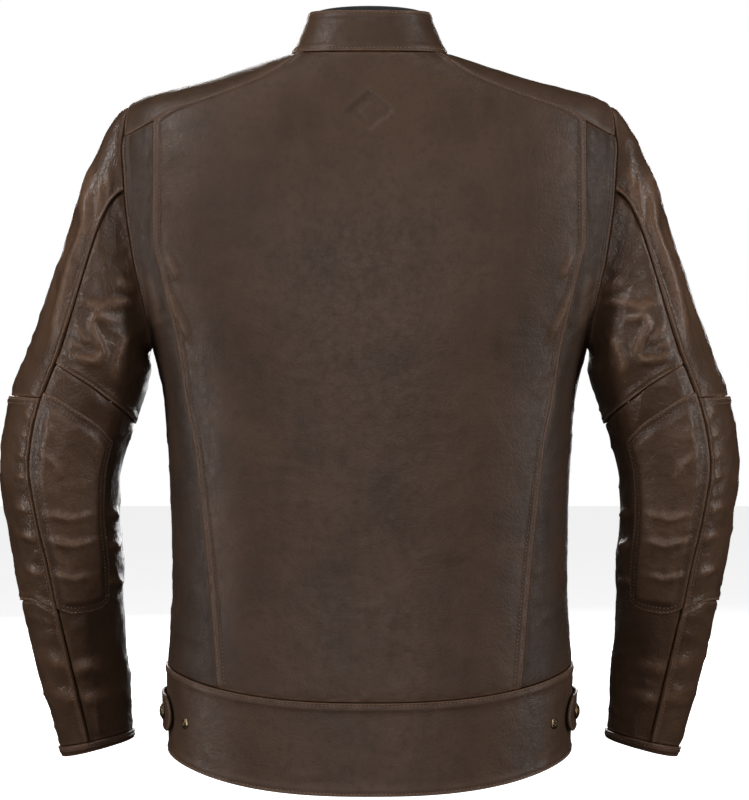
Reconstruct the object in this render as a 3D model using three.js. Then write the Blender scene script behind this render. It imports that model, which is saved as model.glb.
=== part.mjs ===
// A leather riding jacket, built panel by panel on the curved surfaces of a worn garment.
// Millimetres, +Z up, the front faces -Y, the wearer's left is +X. The origin is the centre-back
// neck seam, where the hanger loop is sewn.
import * as THREE from 'three';

// ---------------------------------------------------------------- driving dimensions
const BACK_LENGTH = 689;       // neck seam to hem, down the centre back
const CHEST_HALF_WIDTH = 245;  // half of the body's greatest width, at the armhole
const SLEEVE_DROP = 372;       // bicep line to cuff edge, measured straight down
const SLEEVE_GIRTH = 1;        // grading of the sleeve's section
const LEATHER = 2.4;           // shell leather with its backing
const SEAM_GAP = 0.8;         // between neighbouring panels
const LAY = 0.35;              // running gap of a piece that lies on another
const LINING = 1.2;            // lining cloth
const LINING_DEPTH = 16;       // from the outer face to the lining
const ARMOUR = 7;              // shoulder and elbow pads
const BACK_PAD = 9;            // back protector
const COLLAR_HEIGHT = 38;
const COLLAR_LINING_RISE = 5;  // lining edge standing above the leather at the centre back
const BAND_SEAM = 603;         // top of the waistband, down the centre back
const CUFF_BAND = 10;          // turned hem of the sleeve
const TAB = { height: 35, thickness: 2.4, lift: 2.4, end: 66, sewn: 112, v: 648 };
const SNAP = { cap: 7.5, capHeight: 3.2, stud: 5, studHeight: TAB.lift - 0.8, capAt: 76, spareAt: 57.5 };
const ZIP_GAP = 8;             // centre line to the edge of each front panel
const CHAIN_HALF_WIDTH = 2.8;
const SLIDER = { width: 11, length: 14, height: 3 };
const PULLER = { width: 6, length: 26, height: 1.6 };
const POCKET = { x: 118, top: 420, bottom: 560 };
const POCKET_SLIDER = { width: 7, length: 10, height: 2.2 };
const POCKET_PULLER = { width: 5, length: 18, height: 1.4 };

// The pattern that the tables below describe, before grading.
const PATTERN = { length: 689, width: 245, sleeve: 372 };
const LONG = BACK_LENGTH / PATTERN.length;
const WIDE = CHEST_HALF_WIDTH / PATTERN.width;
const SLEEVE_LONG = SLEEVE_DROP / PATTERN.sleeve;

const COLOURS = {
  leather: 0x33241f, pleat: 0x2b1e1a, lining: 0x121212, brass: 0x7d6844,
  foam: 0x3a3a3c, tape: 0x1a1614,
};

// ---------------------------------------------------------------- small helpers
const rad = THREE.MathUtils.degToRad;
const deg = THREE.MathUtils.radToDeg;
const mix = THREE.MathUtils.lerp;

/** A smooth curve through [key, value] rows, flat in slope where the values turn. */
function profile(rows) {
  const slope = rows.map((row, i) => {
    if (i === 0 || i === rows.length - 1) return null;
    const before = (row[1] - rows[i - 1][1]) / (row[0] - rows[i - 1][0]);
    const after = (rows[i + 1][1] - row[1]) / (rows[i + 1][0] - row[0]);
    return before * after <= 0 ? 0 : (2 * before * after) / (before + after);
  });
  const last = rows.length - 1;
  slope[0] = (rows[1][1] - rows[0][1]) / (rows[1][0] - rows[0][0]);
  slope[last] = (rows[last][1] - rows[last - 1][1]) / (rows[last][0] - rows[last - 1][0]);
  return (key) => {
    if (key <= rows[0][0]) return rows[0][1];
    if (key >= rows[last][0]) return rows[last][1];
    let i = 0;
    while (key > rows[i + 1][0]) i += 1;
    const h = rows[i + 1][0] - rows[i][0];
    const t = (key - rows[i][0]) / h;
    const a = 2 * t ** 3 - 3 * t ** 2 + 1;
    const b = t ** 3 - 2 * t ** 2 + t;
    const c = -2 * t ** 3 + 3 * t ** 2;
    const d = t ** 3 - t ** 2;
    return a * rows[i][1] + b * h * slope[i] + c * rows[i + 1][1] + d * h * slope[i + 1];
  };
}

/** Outward normal of a surface(a, b) at a point, by differences. */
function normalOf(surface, a, b) {
  const step = 0.4;
  const da = surface(a + step, b).sub(surface(a - step, b));
  const db = surface(a, b + step).sub(surface(a, b - step));
  return da.cross(db).normalize();
}

/** One closed solid from a grid of outer points and a grid of inner points. */
function shellGeometry(outer, inner) {
  const rows = outer.length;
  const cols = outer[0].length;
  const points = [...outer.flat(), ...inner.flat()];
  const at = (layer, i, j) => layer * rows * cols + i * cols + j;
  const index = [];
  const quad = (a, b, c, d) => index.push(a, b, c, a, c, d);
  for (let i = 0; i < rows - 1; i += 1) {
    for (let j = 0; j < cols - 1; j += 1) {
      quad(at(0, i, j), at(0, i, j + 1), at(0, i + 1, j + 1), at(0, i + 1, j));
      quad(at(1, i, j), at(1, i + 1, j), at(1, i + 1, j + 1), at(1, i, j + 1));
    }
  }
  for (let j = 0; j < cols - 1; j += 1) {
    quad(at(0, 0, j), at(1, 0, j), at(1, 0, j + 1), at(0, 0, j + 1));
    quad(at(0, rows - 1, j + 1), at(1, rows - 1, j + 1), at(1, rows - 1, j), at(0, rows - 1, j));
  }
  for (let i = 0; i < rows - 1; i += 1) {
    quad(at(0, i + 1, 0), at(1, i + 1, 0), at(1, i, 0), at(0, i, 0));
    quad(at(0, i, cols - 1), at(1, i, cols - 1), at(1, i + 1, cols - 1), at(0, i + 1, cols - 1));
  }
  return outwardGeometry(points, index);
}

/** A closed ring-shaped solid: the grids' columns run all the way round. */
function ringGeometry(outer, inner) {
  const rows = outer.length;
  const cols = outer[0].length;
  const points = [...outer.flat(), ...inner.flat()];
  const at = (layer, i, j) => layer * rows * cols + i * cols + (j % cols);
  const index = [];
  const quad = (a, b, c, d) => index.push(a, b, c, a, c, d);
  for (let j = 0; j < cols; j += 1) {
    for (let i = 0; i < rows - 1; i += 1) {
      quad(at(0, i, j), at(0, i, j + 1), at(0, i + 1, j + 1), at(0, i + 1, j));
      quad(at(1, i, j), at(1, i + 1, j), at(1, i + 1, j + 1), at(1, i, j + 1));
    }
    quad(at(0, 0, j), at(1, 0, j), at(1, 0, j + 1), at(0, 0, j + 1));
    quad(at(0, rows - 1, j + 1), at(1, rows - 1, j + 1), at(1, rows - 1, j), at(0, rows - 1, j));
  }
  return outwardGeometry(points, index);
}

/** Turns the faces outwards, judged by the sign of the enclosed volume. */
function outwardGeometry(points, index) {
  let volume = 0;
  for (let k = 0; k < index.length; k += 3) {
    const [a, b, c] = [points[index[k]], points[index[k + 1]], points[index[k + 2]]];
    volume += a.dot(b.clone().cross(c));
  }
  if (volume < 0) index.reverse();
  const geometry = new THREE.BufferGeometry();
  geometry.setAttribute('position', new THREE.Float32BufferAttribute(points.flatMap((p) => p.toArray()), 3));
  geometry.setIndex(index);
  return geometry;
}

const jacket = new THREE.Group();

/** Adds one named piece to the jacket, or to a group. */
function piece(name, geometry, colour, roughness = 0.6, metalness = 0, parent = jacket) {
  const material = new THREE.MeshStandardMaterial({ color: colour, roughness, metalness });
  const mesh = new THREE.Mesh(geometry, material);
  mesh.name = name;
  parent.add(mesh);
  return mesh;
}

/** The same points on the wearer's other side. */
const mirrored = (grid) => grid.map((row) => row.map((p) => new THREE.Vector3(-p.x, p.y, p.z)));
const SIDES = [['l', 1], ['r', -1]];
const sided = (grid, sign) => (sign > 0 ? grid : mirrored(grid));

// ---------------------------------------------------------------- the body's surface
// A ring of the body is named by v, its distance below the neck seam down the centre back.
const table = (rows, grade) => {
  const curve = profile(rows);
  return (v) => curve(v / LONG) * grade;
};
const sideX = table([[0, 73], [25, 145], [60, 224], [80, 236], [100, 243], [134, 245], [188, 238],
  [226, 226], [254, 214], [275, 207], [324, 196], [362, 193], [438, 189.5], [515, 188.5],
  [572, 191], [610, 194], [689, 192]], WIDE);
const sideZ = table([[0, 3], [25, -20], [60, -44], [80, -68], [100, -93], [134, -131], [188, -187],
  [254, -254], [324, -323], [438, -432], [515, -499], [603, -574], [689, -657]], LONG);
const sideY = table([[0, -60], [60, -62], [160, -72], [285, -80], [400, -86], [689, -92]], WIDE);
const backY = table([[0, 0], [30, 9], [60, 16], [100, 24], [160, 30], [235, 30], [300, 27],
  [400, 21], [500, 17], [603, 19], [689, 22]], WIDE);
const frontZ = table([[0, -85], [60, -122], [100, -150], [160, -190], [235, -246], [324, -323],
  [438, -432], [515, -499], [603, -574], [689, -657]], LONG);
const FRONT_TOP_Y = -138 * WIDE;
const FRONT_SLOPE = 0.147;      // the front edge is one straight line, so that the zip can run
const frontY = (v) => FRONT_TOP_Y + (frontZ(v) - frontZ(0)) * FRONT_SLOPE;
const SQUARENESS = 2.5;

/** Point of the body's outer surface at angle phi (0 back, 90 side, 180 front) and ring v. */
function body(phi, v) {
  const s = Math.sin(rad(phi));
  const c = Math.cos(rad(phi));
  const reach = (Math.abs(s) ** SQUARENESS + Math.abs(c) ** SQUARENESS) ** (-1 / SQUARENESS);
  const along = Math.abs(c * reach);
  const y = c >= 0 ? backY(v) : frontY(v);
  const z = c >= 0 ? -v : frontZ(v);
  return new THREE.Vector3(sideX(v) * s * reach, mix(sideY(v), y, along), mix(sideZ(v), z, along ** 2));
}

/** The angle at which ring v has the given x; front says which half. */
function angleAt(x, v, front = false) {
  const ratio = Math.min(0.9999, (x * WIDE) / sideX(v));
  const phi = deg(Math.atan2(1, (ratio ** -SQUARENESS - 1) ** (1 / SQUARENESS)));
  return front ? 180 - phi : phi;
}

/** A point sunk below the body's surface along its normal. */
function sunkBody(phi, v, depth) {
  return body(phi, v).addScaledVector(normalOf(body, phi, v), -depth);
}

// The armhole is a squared oval on the body's surface.
const ARMHOLE = { phi: 92, v: 168 * LONG, wide: 30, tall: 107 * LONG, squareness: 2.6 };
const ovalRest = (part) => (
  Math.max(0, 1 - Math.abs(part) ** ARMHOLE.squareness) ** (1 / ARMHOLE.squareness)
);
const armholeReach = (v) => ovalRest((v - ARMHOLE.v) / ARMHOLE.tall) * ARMHOLE.wide;
const armholeRise = (phi) => ovalRest((phi - ARMHOLE.phi) / ARMHOLE.wide) * ARMHOLE.tall;
const ARM_FOOT = ARMHOLE.v + ARMHOLE.tall;

/** Angle and ring of the armhole's edge, theta degrees round from its top towards the front. */
function armhole(theta) {
  const s = Math.sin(rad(theta));
  const c = Math.cos(rad(theta));
  const n = ARMHOLE.squareness;
  const reach = (Math.abs(s) ** n + Math.abs(c) ** n) ** (-1 / n);
  return [ARMHOLE.phi + ARMHOLE.wide * s * reach, ARMHOLE.v - ARMHOLE.tall * c * reach];
}

// Seams, as x of the back or front at ring v.
const PLEAT_X = 201;
const YOKE_FOOT = 72 * LONG;   // where the yoke seam meets the pleat
const YOKE_END = 86 * LONG;    // where it meets the armhole
const yokeBackX = profile([[0, 65], [20, 92], [48, 151], [62, 184], [72, PLEAT_X], [86, 231]]);
const yokeFrontX = profile([[0, 62], [20, 84], [48, 138], [72, 190], [86, 226]]);
const princessX = profile([[72, PLEAT_X], [100, PLEAT_X], [174, PLEAT_X], [204, 194], [230, 188],
  [280, 177], [324, 171], [365, 163], [418, 157], [488, 150], [603, 141]]);
const yokeSeam = (v) => angleAt(yokeBackX(v / LONG), v);
const yokeFrontSeam = (v) => angleAt(yokeFrontX(v / LONG), v, true);
const backEdge = (v) => (v < YOKE_FOOT ? yokeSeam(v) : angleAt(princessX(v / LONG), v));
const SIDE_SEAM = 101;         // angle of the front side seam
const BAND_SPLIT = 90;         // angle at which the waistband's back meets its fronts
const GUSSET_FOOT = 210 * LONG;

/** The ring between low and high at which a seam reaches an angle. */
function ringAt(seam, phi, low, high) {
  let [a, b] = [low, high];
  for (let pass = 0; pass < 30; pass += 1) {
    const middle = (a + b) / 2;
    if (seam(middle) < phi) a = middle;
    else b = middle;
  }
  return (a + b) / 2;
}

/** The half of an angular gap that leaves SEAM_GAP between two panels at ring v. */
const gapAngle = (v) => deg(SEAM_GAP / 2 / (0.8 * sideX(v)));

/**
 * A grid over the body between two angles, each a function of v, and two rings, each a function
 * of phi. levels says where the rows lie between them; neighbours that share a seam share its
 * levels. depth is a number or a function of phi and v.
 */
function bodyGrid(from, to, top, foot, cols, levels, depth) {
  const span = levels[levels.length - 1] - levels[0];
  const columns = [];
  for (let j = 0; j <= cols; j += 1) {
    const phiAt = (v) => mix(from(v) + gapAngle(v), to(v) - gapAngle(v), j / cols);
    const start = crossing(phiAt, top) + SEAM_GAP / 2;
    const end = crossing(phiAt, foot) - SEAM_GAP / 2;
    const column = [];
    for (const level of levels) {
      const v = mix(start, end, (level - levels[0]) / span);
      const phi = phiAt(v);
      column.push(sunkBody(phi, v, typeof depth === 'number' ? depth : depth(phi, v)));
    }
    columns.push(column);
  }
  return columns;
}

/** The ring at which a column of constant share meets an edge that is a function of phi. */
function crossing(phiAt, edge) {
  let [low, high] = [0, BACK_LENGTH + 1];
  for (let pass = 0; pass < 40; pass += 1) {
    const middle = (low + high) / 2;
    if (middle < edge(phiAt(middle))) low = middle;
    else high = middle;
  }
  return (low + high) / 2;
}

/** A panel of the body, on one side, between two depths. */
function bodyPanel(name, sign, shape, cols, levels, near = 0, far = LEATHER,
  colour = COLOURS.leather, rough = 0.6) {
  const [from, to, top, foot] = shape;
  const outer = bodyGrid(from, to, top, foot, cols, levels, near);
  const inner = bodyGrid(from, to, top, foot, cols, levels, far);
  return piece(name, shellGeometry(sided(outer, sign), sided(inner, sign)), colour, rough);
}
const flat = (value) => () => value;

// ---------------------------------------------------------------- body panels
const YOKE_LEVELS = [0, 17, 34, 52, 72, 86];
const PLEAT_LEVELS = [72, 86, 112, 142, 174, 210];
const SIDE_LEVELS = [210, 245, 280, 324, 365, 418, 480, 540, 603];
const BODY_LEVELS = [...YOKE_LEVELS, ...PLEAT_LEVELS.slice(2), ...SIDE_LEVELS.slice(1)];
const even = (rows) => Array.from({ length: rows + 1 }, (_, i) => i);
const bandSeam = flat(BAND_SEAM * LONG);
const gussetTop = (phi) => ringAt(yokeSeam, phi, YOKE_FOOT, YOKE_END);
const sideTop = (phi) => (phi < ARMHOLE.phi - armholeReach(GUSSET_FOOT)
  ? GUSSET_FOOT : ARMHOLE.v + armholeRise(phi));
const yokeFoot = (phi) => Math.max(ARMHOLE.v - armholeRise(phi), 0);
const frontTo = (v) => angleAt(ZIP_GAP / WIDE, v, true);
function frontFrom(v) {
  if (v < YOKE_END) return yokeFrontSeam(v);
  if (v < ARM_FOOT) return Math.max(SIDE_SEAM, ARMHOLE.phi + armholeReach(v));
  return SIDE_SEAM;
}

bodyPanel('back_panel', 1, [(v) => -backEdge(v), backEdge, flat(0), bandSeam], 16, BODY_LEVELS);
for (const [tag, sign] of SIDES) {
  bodyPanel(`back_pleat_strip_${tag}`, sign, [backEdge, (v) => ARMHOLE.phi - armholeReach(v), gussetTop,
    flat(GUSSET_FOOT)], 2, PLEAT_LEVELS, 0, LEATHER, COLOURS.pleat);
  bodyPanel(`side_panel_${tag}`, sign, [backEdge, flat(SIDE_SEAM), sideTop, bandSeam], 5, SIDE_LEVELS);
  bodyPanel(`shoulder_yoke_${tag}`, sign, [yokeSeam, yokeFrontSeam, flat(0), yokeFoot], 14, YOKE_LEVELS);
  bodyPanel(`front_panel_${tag}`, sign, [frontFrom, frontTo, flat(0), bandSeam], 10, BODY_LEVELS);
}
const bandShape = (from, to) => [from, to, bandSeam, flat(BACK_LENGTH)];
bodyPanel('waistband_back', 1, bandShape(flat(-BAND_SPLIT), flat(BAND_SPLIT)), 18, even(2));
for (const [tag, sign] of SIDES) {
  bodyPanel(`waistband_front_${tag}`, sign, bandShape(flat(BAND_SPLIT), frontTo), 9, even(2));
}

// ---------------------------------------------------------------- collar
const COLLAR_TOP = { x: 56.5 * WIDE, sideY: -58 * WIDE, backY: -5 * WIDE, frontY: -123 * WIDE };
const COLLAR_END = 173;        // half angle of the collar, open at the front

/** Outer face of the stand collar; h runs from 0 at the neck seam to 1 at its top edge. */
function collar(phi, h) {
  const s = Math.sin(rad(phi));
  const c = Math.cos(rad(phi));
  const reach = (Math.abs(s) ** SQUARENESS + Math.abs(c) ** SQUARENESS) ** (-1 / SQUARENESS);
  const edgeY = mix(COLLAR_TOP.sideY, c >= 0 ? COLLAR_TOP.backY : COLLAR_TOP.frontY, Math.abs(c * reach));
  const low = body(phi, 0);
  const high = new THREE.Vector3(COLLAR_TOP.x * s * reach, edgeY, low.z + COLLAR_HEIGHT);
  return low.lerp(high, h);
}

/** A grid over the collar between two heights, sunk by a depth. */
function collarGrid(cols, rows, top, depth) {
  const foot = SEAM_GAP / 2 / COLLAR_HEIGHT;
  return Array.from({ length: rows + 1 }, (_, i) => Array.from({ length: cols + 1 }, (__, j) => {
    const phi = mix(-COLLAR_END, COLLAR_END, j / cols);
    const h = mix(foot, top(phi), i / rows);
    const out = new THREE.Vector3(Math.sin(rad(phi)), Math.cos(rad(phi)), 0);
    return collar(phi, h).addScaledVector(out, -depth);
  }));
}
const liningTop = (phi) => 1 + (COLLAR_LINING_RISE / COLLAR_HEIGHT) * Math.max(-0.3, 1 - (phi / 72) ** 2);
const COLLAR_LINING_DEPTH = LEATHER + LAY;
piece('collar_shell', shellGeometry(collarGrid(22, 1, flat(1), 0), collarGrid(22, 1, flat(1), LEATHER)),
  COLOURS.leather);
piece('collar_lining', shellGeometry(collarGrid(22, 1, liningTop, COLLAR_LINING_DEPTH),
  collarGrid(22, 1, liningTop, COLLAR_LINING_DEPTH + LINING)), COLOURS.lining, 0.95);

// ---------------------------------------------------------------- lining and back protector
const LINING_SEAM = 92;        // the lining's own side and shoulder seam
// Closer together under the collar and above the hem, where the lining rises to the leather.
const LINING_LEVELS = [5, 14, 24, 40, 60, 95, 130, 168, 210, 260, 320, 400, 480, 560, 600, 640, 679];
const LINING_TOP = 5 * LONG;
const LINING_FOOT = BACK_LENGTH - 10;
const FACING_DEPTH = LEATHER + 3.2;      // the lining comes up to this depth along every free edge
const liningRise = profile([[0, 0], [14, 1], [600, 1], [672, 0]]);
const facingRise = profile([[0, 1], [150, 1], [166, 0], [180, 0]]);
const HEM_DEPTH = LEATHER + 0.9; // its foot is sewn to the waistband
const hemFall = profile([[640, 0], [672, 1]]);
function liningDepth(phi, v) {
  const free = mix(FACING_DEPTH, LINING_DEPTH, liningRise(v / LONG) * facingRise(Math.abs(phi)));
  return mix(free, HEM_DEPTH, hemFall(v / LONG));
}
const liningBackEdge = (v) => LINING_SEAM - armholeReach(v);
const liningFrontEdge = (v) => LINING_SEAM + armholeReach(v);
const facingEdge = (v) => angleAt(ZIP_GAP * 1.8, v, true);
const innerDepth = (depth, extra) => (phi, v) => depth(phi, v) + extra;
bodyPanel('lining_back', 1, [(v) => -liningBackEdge(v), liningBackEdge, flat(LINING_TOP), flat(LINING_FOOT)],
  18, LINING_LEVELS, liningDepth, innerDepth(liningDepth, LINING), COLOURS.lining, 0.95);
for (const [tag, sign] of SIDES) {
  bodyPanel(`lining_front_${tag}`, sign, [liningFrontEdge, facingEdge, flat(LINING_TOP), flat(LINING_FOOT)],
    9, LINING_LEVELS, liningDepth, innerDepth(liningDepth, LINING), COLOURS.lining, 0.95);
}
const PAD_TOP = 95 * LONG;
const PAD_FOOT = 430 * LONG;
const PAD_HALF_ANGLE = 34;
const PAD_DEPTH = LEATHER + 0.9;  // it lies against the back panel, in a pocket of the lining
bodyPanel('back_protector', 1, [flat(-PAD_HALF_ANGLE), flat(PAD_HALF_ANGLE), flat(PAD_TOP), flat(PAD_FOOT)],
  14, even(7), PAD_DEPTH, PAD_DEPTH + BACK_PAD, COLOURS.foam, 0.9);

// ---------------------------------------------------------------- sleeves
// A ring of the sleeve is named by w, its drop below the bicep line; the head runs from
// w = -HEAD at the armhole to w = 0. psi is 0 outwards, 90 front, 180 towards the body, 270 back.
const HEAD = 100;
const sleeveTable = (rows, grade = SLEEVE_GIRTH) => {
  const curve = profile(rows);
  return (w) => curve(w / SLEEVE_LONG) * grade;
};
const BICEP = { x: 269.4 * WIDE, z: -292 * LONG };
const armShift = sleeveTable([[0, 0], [32, 11.6], [70, 21.6], [108, 27], [146, 25.6], [185, 21.6],
  [225, 18.6], [305, 7.6], [344, 1.6], [372, -3]], 1);
const armHalfWidth = sleeveTable([[0, 60.7], [32, 62.5], [70, 60.5], [108, 57.4], [146, 54.4], [185, 53],
  [225, 49], [265, 46.5], [305, 43], [344, 37.8], [372, 35.5]]);
const armHalfDepth = sleeveTable([[0, 74], [108, 63], [185, 57], [265, 50], [372, 42]]);
const armY = sleeveTable([[0, -85], [108, -95], [208, -115], [308, -140], [372, -155]], 1);
const armTilt = sleeveTable([[0, 7], [108, 0], [250, 0], [372, -9]], 1);
const HEAD_OUT = { seam: 34, low: 8, bicep: 75, foot: 10 };

/** Ring of the sleeve below the bicep line. */
function armRing(psi, w) {
  const c = Math.cos(rad(psi));
  const s = Math.sin(rad(psi));
  const x = BICEP.x + armShift(w) + armHalfWidth(w) * c;
  return new THREE.Vector3(x, armY(w) - armHalfDepth(w) * s, BICEP.z - w + armTilt(w) * c);
}

/** Point of the sleeve's outer surface. */
function sleeve(psi, w) {
  if (w >= 0) return armRing(psi, w);
  const u = 1 + w / HEAD;
  const high = (1 + Math.cos(rad(psi))) / 2;
  const start = body(...armhole(psi));
  const end = armRing(psi, 0);
  const leave = start.clone().add(new THREE.Vector3(mix(HEAD_OUT.low, HEAD_OUT.seam, high), 0, -4));
  const run = armRing(psi, 12).sub(end).normalize();
  const arrive = end.clone().addScaledVector(run, -mix(HEAD_OUT.foot, HEAD_OUT.bicep, high));
  return new THREE.Vector3()
    .addScaledVector(start, (1 - u) ** 3)
    .addScaledVector(leave, 3 * u * (1 - u) ** 2)
    .addScaledVector(arrive, 3 * u * u * (1 - u))
    .addScaledVector(end, u ** 3);
}
const sunkSleeve = (psi, w, depth) => (
  sleeve(psi, w).addScaledVector(normalOf(sleeve, psi, w), -depth)
);

/** A grid over the sleeve between two angles, each a function of w, and two rings. */
function sleeveGrid(from, to, top, foot, cols, rows, depth) {
  return Array.from({ length: rows + 1 }, (_, i) => Array.from({ length: cols + 1 }, (__, j) => {
    const w = mix(top + SEAM_GAP / 2, foot - SEAM_GAP / 2, i / rows);
    const gap = deg(SEAM_GAP / 2 / armHalfWidth(w));
    return sunkSleeve(mix(from(w) + gap, to(w) - gap, j / cols), w, depth);
  }));
}

/** A full ring of the sleeve. */
const sleeveRing = (top, foot, cols, rows, depth) => (
  Array.from({ length: rows + 1 }, (_, i) => Array.from({ length: cols }, (__, j) => (
    sunkSleeve((360 * j) / cols, mix(top + SEAM_GAP / 2, foot - SEAM_GAP / 2, i / rows), depth))))
);

const HEAD_TOP = -HEAD + 1.2;
const HEAD_FOOT = -45;
const HEAD_GAP = 1;            // wider here, where the seam turns tightly under the arm
const ELBOW_TOP = 50 * SLEEVE_LONG;
const ELBOW_FOOT = 235 * SLEEVE_LONG;
const CUFF_SEAM = SLEEVE_DROP - CUFF_BAND;
const backSeam = sleeveTable([[-100, -71], [0, -67], [75, -65], [125, -69], [208, -77], [350, -86]], 1);
const frontSeam = flat(120);
const patchInner = flat(217);
const roundBackSeam = (w) => 360 + backSeam(w);
const ELBOW_PAD = { top: 85, foot: 190, from: 222, to: 284 };
const SHOULDER_PAD = { from: 72, to: 114, top: 22, foot: 54, depth: LEATHER + 2 };

for (const [tag, sign] of SIDES) {
  const panel = (name, grid, far = LEATHER, near = 0, colour = COLOURS.leather, rough = 0.5) => piece(
    `${name}_${tag}`,
    shellGeometry(sided(sleeveGrid(...grid, near), sign), sided(sleeveGrid(...grid, far), sign)),
    colour,
    rough,
  );
  const ring = (name, top, foot, cols, rows) => piece(
    `${name}_${tag}`,
    ringGeometry(...[0, LEATHER].map((depth) => sided(sleeveRing(top, foot, cols, rows, depth), sign))),
    COLOURS.leather,
    0.5,
  );
  ring('sleeve_head', HEAD_TOP, HEAD_FOOT - HEAD_GAP, 28, 2);
  panel('upper_sleeve_top', [backSeam, frontSeam, HEAD_FOOT, ELBOW_TOP, 10, 4]);
  panel('upper_sleeve_under', [frontSeam, roundBackSeam, HEAD_FOOT, ELBOW_TOP, 12, 4]);
  panel('elbow_patch', [patchInner, roundBackSeam, ELBOW_TOP, ELBOW_FOOT, 5, 6]);
  panel('elbow_wrap', [backSeam, patchInner, ELBOW_TOP, ELBOW_FOOT, 12, 6]);
  panel('forearm_top', [backSeam, frontSeam, ELBOW_FOOT, CUFF_SEAM, 10, 4]);
  panel('forearm_under', [frontSeam, roundBackSeam, ELBOW_FOOT, CUFF_SEAM, 9, 4]);
  ring('cuff_band', CUFF_SEAM, SLEEVE_DROP, 20, 1);
  const { from, to, top, foot } = ELBOW_PAD;
  const padGrid = [flat(from), flat(to), top * SLEEVE_LONG, foot * SLEEVE_LONG, 5, 5];
  panel('elbow_armour', padGrid, LEATHER + 0.9 + ARMOUR, LEATHER + 0.9, COLOURS.foam, 0.9);
  bodyPanel(`shoulder_armour_${tag}`, sign, [flat(SHOULDER_PAD.from), flat(SHOULDER_PAD.to),
    flat(SHOULDER_PAD.top * LONG), flat(SHOULDER_PAD.foot * LONG)], 14, even(5), SHOULDER_PAD.depth,
  SHOULDER_PAD.depth + ARMOUR, COLOURS.foam, 0.9);
}

// ---------------------------------------------------------------- hardware
/** Stands a piece at a point, its +Y axis along out. */
function stand(mesh, origin, out) {
  mesh.quaternion.setFromUnitVectors(new THREE.Vector3(0, 1, 0), out);
  mesh.position.copy(origin);
}

/** A group at a point of a zip: +Y up the zip, +Z out of the garment. */
function zipFrame(origin, up, out) {
  const across = up.clone().cross(out).normalize();
  const facing = across.clone().cross(up).normalize();
  const group = new THREE.Group();
  group.applyMatrix4(new THREE.Matrix4().makeBasis(across, up, facing).setPosition(origin));
  jacket.add(group);
  return group;
}

/** A bevel-sided zip slider lying in the XY plane, wide end up. */
function sliderGeometry({ width, length, height }) {
  const corners = [[-0.5, 0.3], [-0.3, 0.5], [0.3, 0.5], [0.5, 0.3], [0.32, -0.5], [-0.32, -0.5]];
  const outline = new THREE.Shape(corners.map(([x, y]) => new THREE.Vector2(x * width, y * length)));
  return new THREE.ExtrudeGeometry(outline, { depth: height, bevelEnabled: false });
}

/** A puller hanging from its own eye at the origin. */
function pullerGeometry({ width, length, height }) {
  const r = width / 2;
  const outline = new THREE.Shape();
  outline.absarc(0, 0, r, 0, Math.PI, false);
  outline.lineTo(-r * 0.8, -length + 2 * r);
  outline.absarc(0, -length + 2 * r, r, Math.PI, 2 * Math.PI, false);
  outline.closePath();
  const eye = new THREE.Path();
  eye.absarc(0, 0, r * 0.4, 0, 2 * Math.PI, true);
  outline.holes.push(eye);
  return new THREE.ExtrudeGeometry(outline, { depth: height, bevelEnabled: false, curveSegments: 6 });
}

/** How far above a slider's middle its puller turns, so that the eye swings clear of its top. */
const eyeRise = (slider, puller) => slider.length / 2 + puller.width / 2 + LAY;

/** A turned piece from [radius, height] rows that start and end on the axis. */
const turned = (rows, segments) => (
  new THREE.LatheGeometry(rows.map(([r, h]) => new THREE.Vector2(r, h)), segments)
);
const stud = () => turned([[0, 0], [SNAP.stud, 0], [SNAP.stud, 0.6], [3, 0.9], [3, SNAP.studHeight],
  [0, SNAP.studHeight]], 12);
const cap = () => turned([[0, 0], [SNAP.cap, 0], [SNAP.cap, 0.8], [SNAP.cap * 0.82, 2.2],
  [SNAP.cap * 0.45, 3], [0, SNAP.capHeight]], 14);

// Hanger loop: a tape sewn by its two ends inside the collar.
const LOOP_GAP = 4.85;         // how far its front stands off the collar's lining at the neck seam
const loopShape = new THREE.Shape();
loopShape.moveTo(-28, 11);
loopShape.quadraticCurveTo(0, -8, 28, 11);
loopShape.lineTo(24, 11);
loopShape.quadraticCurveTo(0, -2.5, -24, 11);
const loop = piece('hanger_loop', new THREE.ExtrudeGeometry(loopShape,
  { depth: 1.2, bevelEnabled: false, curveSegments: 8 }), COLOURS.lining, 0.9);
loop.rotation.x = Math.PI / 2;
loop.position.set(0, -COLLAR_LINING_DEPTH - LINING - LOOP_GAP * WIDE, 0);

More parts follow.
